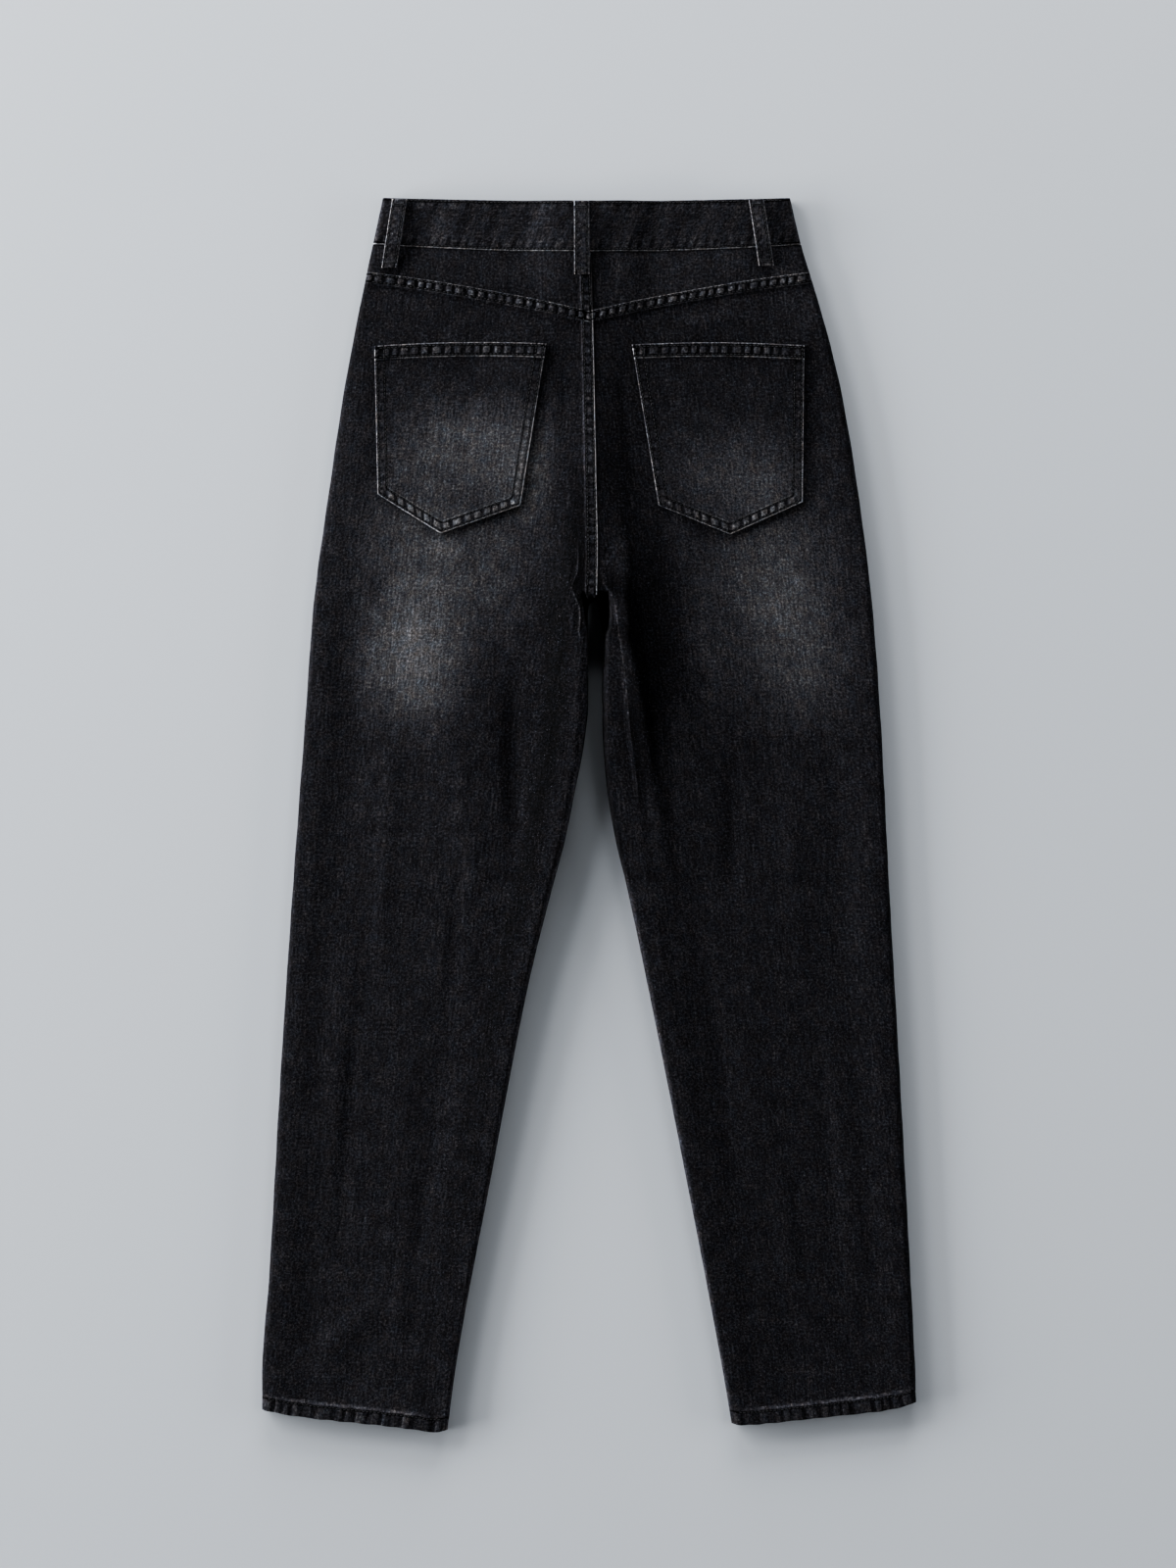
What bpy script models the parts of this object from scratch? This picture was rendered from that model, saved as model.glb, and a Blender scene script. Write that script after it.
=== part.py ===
"""Women's high-waisted jeans, laid out flat on their front with the back uppermost.

Run with: blender --background --python part.py

Units are metres. X runs across the garment, Y from the hems up to the waist and Z up from
the surface that it lies on. "down" is the distance below the top of the waistband, and left
and right are the wearer's, who faces the floor, so left is at -X.

Every cloth piece is an open grid of its outer face, with a Solidify modifier that gives it
the thickness of the denim inwards. back_top and front_under are the heights of the garment's
upper and lower faces, and every piece takes its own heights from them.
"""

import math
from collections import namedtuple

import bmesh
import bpy
import numpy as np

# Driving sizes of the garment
LENGTH = 1.006
DENIM = 0.0013
SEAM_GAP = 0.0003
PATCH_GAP = 0.0004
CROTCH = 0.3245
CROTCH_LOW = 0.0045
CROTCH_ROUND = 0.003
EDGE_ROUND = 0.0045
EDGE_UPRIGHT = 0.35
FELL_WIDTH = 0.009
FELL_RISE = 0.0008
HEM_DEPTH = 0.0118
HEM_WALL = 0.0022
HEM_TOP = 0.0068
INSIDE = 0.0027

# Waistband
BAND_WALL = 0.0022
BAND_HOLLOW = 0.001
BAND_SIDE_DEPTH = 0.038
BAND_CENTRE_DEPTH = 0.0447
BAND_TOP_DIP = 0.0032
BAND_ROUND = 0.003
BAND_STEP = 0.0008
OVERLAP_END = 0.014
UNDERLAP_END = -0.022

# Belt loops, the closure, the front pockets and the back pockets
LOOP_WIDTH = 0.0125
LOOP_WALL = 0.0016
LOOP_ARCH = 0.0010
FRONT_LOOP_AT = 0.088
FRONT_LOOP_TOP = 0.0045
FRONT_LOOP_END = 0.0575
FRONT_CENTRE = 0.003
BUTTON_DOWN = 0.022
BUTTON_THICK = 0.0022
FLY_WIDTH = 0.038
FLY_BEND = 0.14
FLY_END = 0.2
MOUTH_WIDTH = 0.07
MOUTH_END = 0.14
FACING_LAP = 0.012
FACING_INSET = 0.0026
FACING_SHORT = 0.0018
POCKET_HEM = 0.011
POCKET_HEM_EXTRA = 0.0006
POCKET_TOP_ARCH = 0.0022

# The button's face and rim, from its middle outwards
ButtonRing = namedtuple("ButtonRing", "radius height")
BUTTON_RINGS = [
    ButtonRing(0.0000, 0.0007),
    ButtonRing(0.0056, 0.0007),
    ButtonRing(0.0063, 0.0000),
    ButtonRing(0.0077, 0.0000),
    ButtonRing(0.0085, 0.0008),
    ButtonRing(0.0080, 0.0019),
    ButtonRing(0.0055, 0.0022),
    ButtonRing(0.0000, 0.0022),
]

# The outline seen from above, as distances from the centre line
Outline = namedtuple("Outline", "down left_outer right_outer")
OUTLINE = [
    Outline(0.000, 0.1685, 0.1635),
    Outline(0.040, 0.1770, 0.1730),
    Outline(0.093, 0.1880, 0.1890),
    Outline(0.157, 0.2000, 0.2050),
    Outline(0.237, 0.2120, 0.2185),
    Outline(0.333, 0.2250, 0.2305),
    Outline(0.429, 0.2320, 0.2375),
    Outline(0.557, 0.2415, 0.2440),
    Outline(0.717, 0.2520, 0.2530),
    Outline(0.877, 0.2610, 0.2615),
    Outline(0.957, 0.2668, 0.2655),
    Outline(1.006, 0.2670, 0.2670),
]

# The inner edges of the legs as X, with where the thigh rises beside the low cloth of the crotch
InnerEdge = namedtuple("InnerEdge", "down left left_thigh right right_thigh")
INNER_EDGE = [
    InnerEdge(0.326, 0.0056, -0.0045, 0.0066, 0.0152),
    InnerEdge(0.348, 0.0055, -0.0032, 0.0066, 0.0156),
    InnerEdge(0.368, 0.0048, -0.0012, 0.0058, 0.0114),
    InnerEdge(0.390, 0.0036, -0.0008, 0.0062, 0.0102),
    InnerEdge(0.403, 0.0026, -0.0008, 0.0068, 0.0102),
    InnerEdge(0.418, -0.0012, -0.0012, 0.0104, 0.0104),
    InnerEdge(0.434, -0.0030, -0.0030, 0.0107, 0.0107),
    InnerEdge(0.453, -0.0056, -0.0056, 0.0116, 0.0116),
    InnerEdge(0.477, -0.0105, -0.0105, 0.0136, 0.0136),
    InnerEdge(0.525, -0.0202, -0.0202, 0.0216, 0.0216),
    InnerEdge(0.557, -0.0288, -0.0288, 0.0294, 0.0294),
    InnerEdge(0.637, -0.0488, -0.0488, 0.0464, 0.0464),
    InnerEdge(0.797, -0.0800, -0.0800, 0.0784, 0.0784),
    InnerEdge(0.957, -0.1096, -0.1096, 0.1088, 0.1088),
    InnerEdge(1.006, -0.1160, -0.1160, 0.1170, 0.1170),
]

# X of the centre seam, where the left side of the back laps over the right
CentreSeam = namedtuple("CentreSeam", "down x")
CENTRE_SEAM = [
    CentreSeam(0.030, 0.0008),
    CentreSeam(0.093, 0.0028),
    CentreSeam(0.167, 0.0045),
    CentreSeam(0.234, 0.0058),
    CentreSeam(0.288, 0.0068),
    CentreSeam(0.330, 0.0061),
]

# The yoke seam, by distance from the centre line
YokeSeam = namedtuple("YokeSeam", "out down")
YOKE_SEAM = [
    YokeSeam(0.000, 0.0927),
    YokeSeam(0.045, 0.0826),
    YokeSeam(0.090, 0.0742),
    YokeSeam(0.140, 0.0659),
    YokeSeam(0.185, 0.0600),
]

# The bottom edges, by the share of the leg's width in from its outer edge
HemLine = namedtuple("HemLine", "across left right")
HEM_LINE = [
    HemLine(0.00, 0.9875, 0.9815),
    HemLine(0.15, 0.9920, 0.9875),
    HemLine(0.40, 0.9966, 0.9920),
    HemLine(0.60, 0.9996, 0.9952),
    HemLine(0.80, 1.0032, 0.9984),
    HemLine(0.95, 1.0058, 1.0000),
    HemLine(1.00, 1.0040, 0.9988),
]

# Height of the laid cloth: in the middle of each leg, and where it turns over at the side
Loft = namedtuple("Loft", "down level outer")
LOFT = [
    Loft(0.040, 0.0046, 0.0052),
    Loft(0.090, 0.0050, 0.0056),
    Loft(0.150, 0.0053, 0.0060),
    Loft(0.250, 0.0056, 0.0063),
    Loft(0.450, 0.0053, 0.0065),
    Loft(0.620, 0.0049, 0.0064),
    Loft(0.800, 0.0046, 0.0063),
    Loft(0.950, 0.0050, 0.0064),
    Loft(1.010, 0.0054, 0.0064),
]

# The folds beside the centre seam and down the inner thigh. crest, foot and flat are distances
# out from the seam or the thigh's inner side, the rises are over the level of the leg, and
# edge is the width of the rounded side
InnerFold = namedtuple("InnerFold", "down crest crest_rise foot foot_rise flat edge")
INNER_FOLD = {
    "left": [
        InnerFold(0.060, 0.000, 0.0000, 0.030, 0.0000, 0.050, 0.0045),
        InnerFold(0.120, 0.001, 0.0006, 0.034, 0.0000, 0.055, 0.0045),
        InnerFold(0.200, 0.002, 0.0020, 0.038, 0.0003, 0.060, 0.0045),
        InnerFold(0.260, 0.003, 0.0046, 0.040, 0.0005, 0.066, 0.0060),
        InnerFold(0.305, 0.005, 0.0078, 0.040, 0.0007, 0.070, 0.0080),
        InnerFold(0.327, 0.008, 0.0090, 0.040, 0.0009, 0.070, 0.0090),
        InnerFold(0.350, 0.011, 0.0096, 0.040, 0.0011, 0.070, 0.0100),
        InnerFold(0.397, 0.013, 0.0094, 0.041, 0.0012, 0.070, 0.0115),
        InnerFold(0.445, 0.013, 0.0084, 0.041, 0.0009, 0.070, 0.0105),
        InnerFold(0.500, 0.013, 0.0070, 0.040, 0.0005, 0.068, 0.0090),
        InnerFold(0.560, 0.012, 0.0058, 0.038, 0.0002, 0.064, 0.0070),
        InnerFold(0.700, 0.011, 0.0040, 0.036, 0.0000, 0.060, 0.0058),
        InnerFold(0.850, 0.010, 0.0024, 0.034, 0.0000, 0.056, 0.0050),
        InnerFold(1.010, 0.010, 0.0012, 0.034, 0.0000, 0.055, 0.0045),
    ],
    "right": [
        InnerFold(0.060, 0.000, 0.0000, 0.022, 0.0000, 0.045, 0.0045),
        InnerFold(0.120, 0.001, 0.0006, 0.022, -0.0003, 0.052, 0.0045),
        InnerFold(0.200, 0.002, 0.0020, 0.024, -0.0009, 0.062, 0.0045),
        InnerFold(0.260, 0.003, 0.0046, 0.024, -0.0015, 0.070, 0.0045),
        InnerFold(0.305, 0.004, 0.0080, 0.021, -0.0020, 0.076, 0.0045),
        InnerFold(0.327, 0.005, 0.0092, 0.016, -0.0022, 0.076, 0.0045),
        InnerFold(0.350, 0.007, 0.0098, 0.018, -0.0022, 0.076, 0.0050),
        InnerFold(0.397, 0.018, 0.0094, 0.031, -0.0020, 0.072, 0.0075),
        InnerFold(0.445, 0.024, 0.0074, 0.038, -0.0015, 0.068, 0.0075),
        InnerFold(0.490, 0.025, 0.0052, 0.042, -0.0006, 0.064, 0.0065),
        InnerFold(0.560, 0.016, 0.0040, 0.042, 0.0000, 0.062, 0.0060),
        InnerFold(0.700, 0.011, 0.0032, 0.038, 0.0000, 0.060, 0.0055),
        InnerFold(0.850, 0.010, 0.0022, 0.034, 0.0000, 0.056, 0.0050),
        InnerFold(1.010, 0.010, 0.0012, 0.034, 0.0000, 0.055, 0.0045),
    ],
}

# Long soft folds of the back, each a ridge, or a trough where its rise is below 0
SoftFold = namedtuple("SoftFold", "x0 down0 x1 down1 rise reach")
SOFT_FOLDS = [
    SoftFold(-0.200, 0.320, -0.186, 0.520, -0.0009, 0.024),
    SoftFold(-0.120, 0.400, -0.086, 0.600, 0.0008, 0.026),
    SoftFold(-0.200, 0.560, -0.216, 0.860, 0.0007, 0.022),
    SoftFold(-0.110, 0.640, -0.150, 0.900, -0.0008, 0.024),
    SoftFold(-0.170, 0.900, -0.236, 0.965, 0.0009, 0.020),
    SoftFold(0.080, 0.340, 0.140, 0.500, 0.0009, 0.028),
    SoftFold(0.190, 0.400, 0.205, 0.640, -0.0008, 0.024),
    SoftFold(0.110, 0.580, 0.150, 0.840, 0.0008, 0.024),
    SoftFold(0.200, 0.700, 0.225, 0.930, 0.0007, 0.022),
    SoftFold(0.150, 0.880, 0.180, 0.975, -0.0008, 0.020),
]

# The corners of the back pockets, seen from above
Corner = namedtuple("Corner", "x down")
POCKETS = {
    "left": {
        "top_outer": Corner(-0.1752, 0.1212),
        "top_inner": Corner(-0.0350, 0.1194),
        "low_inner": Corner(-0.0562, 0.2512),
        "tip": Corner(-0.1212, 0.2740),
        "low_outer": Corner(-0.1726, 0.2420),
    },
    "right": {
        "top_outer": Corner(0.1750, 0.1207),
        "top_inner": Corner(0.0344, 0.1201),
        "low_inner": Corner(0.0562, 0.2511),
        "tip": Corner(0.1146, 0.2748),
        "low_outer": Corner(0.1736, 0.2484),
    },
}

# The belt loops of the back, by the X of the middles of their ends
BackLoop = namedtuple("BackLoop", "name side top_x bottom_x top_down bottom_down")
BACK_LOOPS = [
    BackLoop("belt_loop_back_left", "left", -0.1545, -0.1632, 0.0018, 0.0575),
    BackLoop("belt_loop_back_centre", "left", -0.0064, -0.0062, 0.0040, 0.0636),
    BackLoop("belt_loop_back_right", "right", 0.1356, 0.1440, 0.0020, 0.0560),
]

# Distances in from an edge at which a panel has its columns of points, and how many lie between
ColumnPlan = namedtuple("ColumnPlan", "inner outer middle")
BACK_COLUMNS = {
    "left": ColumnPlan(
        [0.0, 0.00002, 0.0018, 0.005, 0.009, 0.0105, 0.0135, 0.018, 0.025, 0.036],
        [0.0, 0.00002, 0.0018, 0.0045, 0.009],
        6,
    ),
    "right": ColumnPlan(
        [0.0, 0.00002, 0.0018, 0.005, 0.0085, 0.0105, 0.0135, 0.018, 0.025, 0.036],
        [0.0, 0.00002, 0.0018, 0.0045, 0.009],
        6,
    ),
}
FRONT_COLUMNS = ColumnPlan([0.0, 0.00002, 0.0018, 0.0045, 0.010], [0.0, 0.00002, 0.0018, 0.0045], 5)
FACING_COLUMNS = ColumnPlan([0.0], [0.0, 0.004], 4)

# Rows of points on a leg: distances below its top edge, then below the top of the waistband
# from the crotch down, then above the hem
BACK_UPPER_ROWS = [0.0, 0.0088, 0.0106, 0.030, 0.055, 0.080, 0.105, 0.130, 0.155, 0.180, 0.200,
                   0.215]
FRONT_UPPER_ROWS = [0.0, 0.0300, 0.0550, 0.0750, 0.0880, 0.0950, 0.0980, 0.0994, 0.125, 0.155,
                    0.200, 0.240]
LOWER_ROWS = [0.3165, 0.3205, 0.3235, 0.3255, 0.329, 0.338, 0.351, 0.368, 0.386, 0.403, 0.418,
              0.434, 0.456, 0.484, 0.525, 0.580, 0.650, 0.730, 0.810, 0.880, 0.940]
HEM_ROWS = [0.0172, HEM_DEPTH, 0.0105, 0.0055, 0.0]

# Name, colour, roughness and metallic value of each finish
Finish = namedtuple("Finish", "name colour roughness metallic")
DENIM_FINISH = Finish("washed_black_denim", (0.022, 0.021, 0.025), 0.85, 0.0)
METAL_FINISH = Finish("antique_metal", (0.20, 0.19, 0.18), 0.4, 1.0)

SIDES = {"left": -1, "right": 1}


def curve(rows, column, at):
    """The column's value at each place along the table's first column, on a smooth curve."""
    x = np.array([row[0] for row in rows])
    y = np.array([getattr(row, column) for row in rows])
    slope = np.diff(y) / np.diff(x)
    before = np.append(slope[:1], slope)
    after = np.append(slope, slope[-1:])
    same_way = before * after > 0
    total = np.where(same_way, before + after, 1.0)
    tangent = np.where(same_way, 2 * before * after / total, 0.0)
    at = np.clip(at, x[0], x[-1])
    i = np.clip(np.searchsorted(x, at) - 1, 0, len(x) - 2)
    width = x[i + 1] - x[i]
    t = (at - x[i]) / width
    start = (1 + 2 * t) * (1 - t) ** 2 * y[i] + t * (1 - t) ** 2 * width * tangent[i]
    end = t * t * (3 - 2 * t) * y[i + 1] + t * t * (t - 1) * width * tangent[i + 1]
    return start + end


def fade(distance, full, none):
    """1 up to full, 0 from none on, and smooth between them."""
    t = np.clip((distance - full) / (none - full), 0, 1)
    return 1 - t * t * (3 - 2 * t)


def round_edge(distance, radius):
    """The share of the full height at a distance in from a seam that the cloth is turned at."""
    t = np.clip(distance / radius, 0, 1)
    curved = np.maximum(np.sqrt(1 - (1 - t) ** 2), EDGE_UPRIGHT)
    return np.where(distance > 1e-6, curved, 0.0)


def outer_edge(side, down):
    return SIDES[side] * curve(OUTLINE, side + "_outer", down)


def centre_seam(down):
    return curve(CENTRE_SEAM, "x", down)


def inner_edge(side, down):
    """The edge towards the other leg: the centre seam above the crotch, the inseam below it."""
    seam = centre_seam(down) + SIDES[side] * SEAM_GAP / 2
    return np.where(down < CROTCH, seam, curve(INNER_EDGE, side, down))


def crotch_width(side, down):
    """How far the low cloth between the thighs reaches from the inner edge."""
    edge = curve(INNER_EDGE, side, down)
    return np.abs(curve(INNER_EDGE, side + "_thigh", down) - edge)


def lies_low(side, down):
    """Whether the inner edge lies low between the thighs, as it does next to the crotch."""
    return (down > CROTCH) & (crotch_width(side, down) > CROTCH_ROUND)


def yoke_line(x):
    return curve(YOKE_SEAM, "down", np.abs(x))


def hem_line(side, x):
    outer = outer_edge(side, LENGTH)
    share = (outer - x) / (outer - inner_edge(side, LENGTH))
    return curve(HEM_LINE, side, share)


def band_edge_top(x):
    return BAND_TOP_DIP * (1 - (x / outer_edge("left", 0.0)) ** 2)


def band_edge_low(x):
    middle = 1 - (x / outer_edge("left", BAND_SIDE_DEPTH)) ** 2
    return BAND_SIDE_DEPTH + (BAND_CENTRE_DEPTH - BAND_SIDE_DEPTH) * middle


def pocket_mouth(side, down):
    """X of the outer edge of a front leg, cut away along the curve of the pocket's mouth."""
    share = np.clip((down - BAND_SIDE_DEPTH) / (MOUTH_END - BAND_SIDE_DEPTH), 0, 1)
    return outer_edge(side, down) - SIDES[side] * MOUTH_WIDTH * np.sqrt(1 - share**2)


def rise_over_button(x, down, slack=0.0):
    far = np.hypot(x - FRONT_CENTRE, down - BUTTON_DOWN)
    return (BUTTON_THICK + SEAM_GAP) * fade(far, 0.012 + slack, 0.042 + 2 * slack)


def rise_over_front_loops(x, down, slack=0.0):
    beside = np.abs(np.abs(x) - FRONT_LOOP_AT)
    across = fade(beside, LOOP_WIDTH / 2 + 0.006 + slack, 0.064 + 2 * slack)
    return (LOOP_WALL + SEAM_GAP) * across * fade(down, 0.060, 0.130)


def rise_over_fly(x, down, slack=0.0):
    beside = np.abs(x - FRONT_CENTRE + FLY_WIDTH / 2)
    across = fade(beside, FLY_WIDTH / 2 + 0.012, FLY_WIDTH / 2 + 0.040 + slack)
    return (DENIM + SEAM_GAP) * across * fade(down, FLY_END + 0.004, FLY_END + 0.024 + slack)


def front_under(x, down):
    """Height of the lowest cloth, where the button, the front loops and the fly lift it."""
    over_loops = np.maximum(rise_over_button(x, down), rise_over_front_loops(x, down))
    return np.maximum(over_loops, rise_over_fly(x, down))


def band_overlap(x, slack=0.0):
    """How far the waistband's inner end and the back over it are lifted at the front closure."""
    beside = np.abs(x - (OVERLAP_END + UNDERLAP_END) / 2)
    half = (OVERLAP_END - UNDERLAP_END) / 2
    return (BAND_WALL + SEAM_GAP) * fade(beside, half + 0.002 + slack, half + 0.030 + 2 * slack)


def band_lift(x):
    lift = rise_over_button(x, BUTTON_DOWN, 0.006) + rise_over_front_loops(x, 0.0, 0.008)
    return lift + band_overlap(x, 0.006)


def band_top(x):
    """Height of the waistband's outer face along the back."""
    return 2 * BAND_WALL + BAND_HOLLOW + band_lift(x)


def lift_below_band(x, down):
    """What the closure and the front loops still lift the back by, below the waistband."""
    fading = fade(down - BAND_CENTRE_DEPTH, 0.0, 0.100)
    return np.maximum(band_lift(x) * fading, rise_over_fly(x, down, 0.030))


def soft_folds(x, down):
    total = np.zeros_like(x)
    for fold in SOFT_FOLDS:
        run_x, run_down = fold.x1 - fold.x0, fold.down1 - fold.down0
        long = math.hypot(run_x, run_down)
        t = ((x - fold.x0) * run_x + (down - fold.down0) * run_down) / long**2
        beside = np.abs((x - fold.x0) * run_down - (down - fold.down0) * run_x) / long
        total += fold.rise * fade(beside, 0.0, fold.reach) * fade(np.abs(t - 0.5), 0.15, 0.5)
    return total


def felled_seams(side, x, down):
    """The raised strips of the lapped seams: under the yoke, and left of the centre back."""
    below_yoke = down - yoke_line(x)
    raised = fade(below_yoke, FELL_WIDTH, FELL_WIDTH + 0.0015) * (below_yoke > 0)
    if side == "left":
        strip = fade(centre_seam(down) - x, FELL_WIDTH, FELL_WIDTH + 0.0015)
        raised = np.maximum(raised, strip * (down < CROTCH))
    return FELL_RISE * raised


def thigh_fold(side, down, past):
    """Rise of the cloth at a distance past the centre seam, or past the thigh's inner side."""
    rows = INNER_FOLD[side]
    crest = curve(rows, "crest", down)
    foot = curve(rows, "foot", down)
    crest_rise = curve(rows, "crest_rise", down)
    foot_rise = curve(rows, "foot_rise", down)
    rise = crest_rise + (foot_rise - crest_rise) * (1 - fade(past, crest, foot))
    return rise * fade(past, foot, curve(rows, "flat", down))


def outseam_height(down):
    return curve(LOFT, "outer", down) / 2


def inseam_height(side, down):
    full = curve(LOFT, "level", down) + curve(INNER_FOLD[side], "crest_rise", down)
    return np.where(lies_low(side, down), CROTCH_LOW, full) / 2


def back_top(side, x, down):
    """Height of the outer face of the back's cloth, its yokes and legs."""
    inside = np.abs(x - inner_edge(side, down))
    outside = np.abs(outer_edge(side, down) - x)
    above_hem = hem_line(side, x) - down
    level = curve(LOFT, "level", down)
    level = level + (curve(LOFT, "outer", down) - level) * fade(outside, 0.009, 0.040)
    past = inside - crotch_width(side, down) * (1 - fade(down, CROTCH - 0.060, CROTCH))
    height = level + thigh_fold(side, down, past)
    folds = soft_folds(x, down) * (1 - fade(outside, 0.006, 0.014))
    height = height + folds * (1 - fade(above_hem, HEM_DEPTH, 0.040))
    height = height + lift_below_band(x, down) + felled_seams(side, x, down)
    at_band = fade(down - band_edge_low(x), 0.0, 0.010)
    height = height + (band_top(x) - BAND_STEP - height) * at_band
    height = height + (HEM_TOP - height) * fade(above_hem, HEM_DEPTH, HEM_DEPTH + 0.006)
    low = outseam_height(down) + SEAM_GAP / 2
    height = low + (height - low) * round_edge(outside, EDGE_ROUND)
    low = inseam_height(side, down) + SEAM_GAP / 2
    rolled = low + (CROTCH_LOW - low) * round_edge(inside, CROTCH_ROUND)
    low = np.where(lies_low(side, down), rolled, low)
    edge = curve(INNER_FOLD[side], "edge", down)
    share = np.maximum(round_edge(past, edge), fade(down, CROTCH - 0.0035, CROTCH + 0.001))
    return low + (height - low) * share


def front_low(side, x, down):
    """Height of the outer face of a front leg, turned up towards the seams at its edges."""
    inside = np.abs(x - inner_edge(side, down))
    outside = np.abs(outer_edge(side, down) - x)
    edge = np.minimum(curve(INNER_FOLD[side], "edge", down), FRONT_COLUMNS.inner[-1])
    edge = np.where(lies_low(side, down), CROTCH_ROUND, edge)
    inner_rise = (inseam_height(side, down) - SEAM_GAP / 2) * (1 - round_edge(inside, edge))
    outer_rise = (outseam_height(down) - SEAM_GAP / 2) * (1 - round_edge(outside, EDGE_ROUND))
    rise = inner_rise * (down > CROTCH) + outer_rise
    return np.maximum(front_under(x, down), rise)


def new_object(name, mesh, finish):
    obj = bpy.data.objects.new(name, mesh)
    bpy.data.collections["mom_jeans"].objects.link(obj)
    material = bpy.data.materials.new(finish.name + "_" + name)
    material.use_nodes = True
    shader = material.node_tree.nodes["Principled BSDF"]
    shader.inputs["Base Color"].default_value = (*finish.colour, 1.0)
    shader.inputs["Roughness"].default_value = finish.roughness
    shader.inputs["Metallic"].default_value = finish.metallic
    mesh.materials.append(material)
    return obj


def cloth(name, x, down, height, wall, thick_rows=(), thick_wall=0.0):
    """A cloth piece through rows and columns of points on its outer face, with its thickness.

    The rows numbered in thick_rows are turned in and double, so thick_wall there.
    """
    rows, columns = x.shape
    grid = bmesh.new()
    bmesh.ops.create_grid(grid, x_segments=columns - 1, y_segments=rows - 1, size=1.0)
    points = np.stack([x, LENGTH / 2 - down, height], axis=-1).reshape(-1, 3)
    grid.verts.ensure_lookup_table()
    for vertex, point in zip(grid.verts, points):
        vertex.co = point
    grid.normal_update()
    outwards = 0.0
    for face in grid.faces:
        above = face.calc_center_median().z - INSIDE
        outwards += above * face.normal.z * face.calc_area()
    if outwards < 0:
        bmesh.ops.reverse_faces(grid, faces=grid.faces[:])
    mesh = bpy.data.meshes.new(name)
    grid.to_mesh(mesh)
    grid.free()
    mesh.shade_smooth()
    obj = new_object(name, mesh, DENIM_FINISH)
    thickness = obj.modifiers.new("thickness", "SOLIDIFY")
    thickness.offset = -1
    thickness.use_even_offset = True
    thickness.use_quality_normals = True
    thickness.thickness = wall
    if len(thick_rows):
        group = obj.vertex_groups.new(name="double")
        group.add([row * columns + i for row in thick_rows for i in range(columns)], 1, "REPLACE")
        thickness.vertex_group = "double"
        thickness.thickness = thick_wall
        thickness.thickness_vertex_group = wall / thick_wall
    return obj


def column_x(edge_from, edge_to, plan, number):
    """X of one of the plan's columns between two edges, at each row."""
    width = np.abs(edge_to - edge_from)
    if number < len(plan.inner):
        distance = plan.inner[number] + 0 * width
    elif number >= len(plan.inner) + plan.middle:
        distance = width - plan.outer[len(plan.inner) + plan.middle - number - 1]
    else:
        start, end = plan.inner[-1], width - plan.outer[-1]
        share = (number - len(plan.inner) + 1) / (plan.middle + 1)
        distance = start + share * (end - start)
    return edge_from + np.sign(edge_to - edge_from) * distance


def panel_points(plan, inner, outer, row_downs):
    """X and down of a panel's points. row_downs gives a column's rows from its X."""
    columns = []
    for number in range(len(plan.inner) + plan.middle + len(plan.outer)):
        down = np.full(1, MOUTH_END)
        x = column_x(inner(down), outer(down), plan, number)
        for _ in range(8):
            down = row_downs(x)
            x = column_x(inner(down), outer(down), plan, number)
        columns.append((x, down))
    return np.stack([c[0] for c in columns], axis=1), np.stack([c[1] for c in columns], axis=1)


def leg_downs(side, x, top, upper_rows, nominal_top):
    """Downs of a leg's rows in one column, from its top edge to the hem, level at the crotch."""
    scale = (LOWER_ROWS[0] - top) / (LOWER_ROWS[0] - nominal_top)
    upper = [top + row * (scale if row > 0.0110 else 1) for row in upper_rows]
    return np.array(upper + LOWER_ROWS + [hem_line(side, x[-1]) - row for row in HEM_ROWS])


def back_leg(side):
    def downs(x):
        top = yoke_line(x[0]) + SEAM_GAP / 2
        return leg_downs(side, x, top, BACK_UPPER_ROWS, YOKE_SEAM[0].down)

    def inner(down):
        return inner_edge(side, down)

    def outer(down):
        return outer_edge(side, down)

    x, down = panel_points(BACK_COLUMNS[side], inner, outer, downs)
    hem_rows = range(len(x) - 4, len(x))
    height = back_top(side, x, down)
    cloth("back_leg_" + side, x, down, height, DENIM, hem_rows, HEM_WALL)


def front_leg(side):
    def downs(x):
        top = band_edge_low(x[0]) + SEAM_GAP
        return leg_downs(side, x, top, FRONT_UPPER_ROWS, BAND_CENTRE_DEPTH)

    def inner(down):
        return inner_edge(side, down)

    def outer(down):
        return pocket_mouth(side, down)

    x, down = panel_points(FRONT_COLUMNS, inner, outer, downs)
    hem_rows = range(len(x) - 4, len(x))
    height = front_low(side, x, down)
    cloth("front_leg_" + side, x, down, height, DENIM, hem_rows, HEM_WALL)


def yoke(side):
    def downs(x):
        top = band_edge_low(x[0]) + SEAM_GAP
        bottom = yoke_line(x[-1]) - SEAM_GAP / 2
        return np.array([top + share * (bottom - top) for share in (0, 0.25, 0.5, 0.75, 1)])

    def inner(down):
        return inner_edge(side, down)

    def outer(down):
        return outer_edge(side, down)

    x, down = panel_points(BACK_COLUMNS[side], inner, outer, downs)
    cloth("back_yoke_" + side, x, down, back_top(side, x, down), DENIM)


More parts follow.
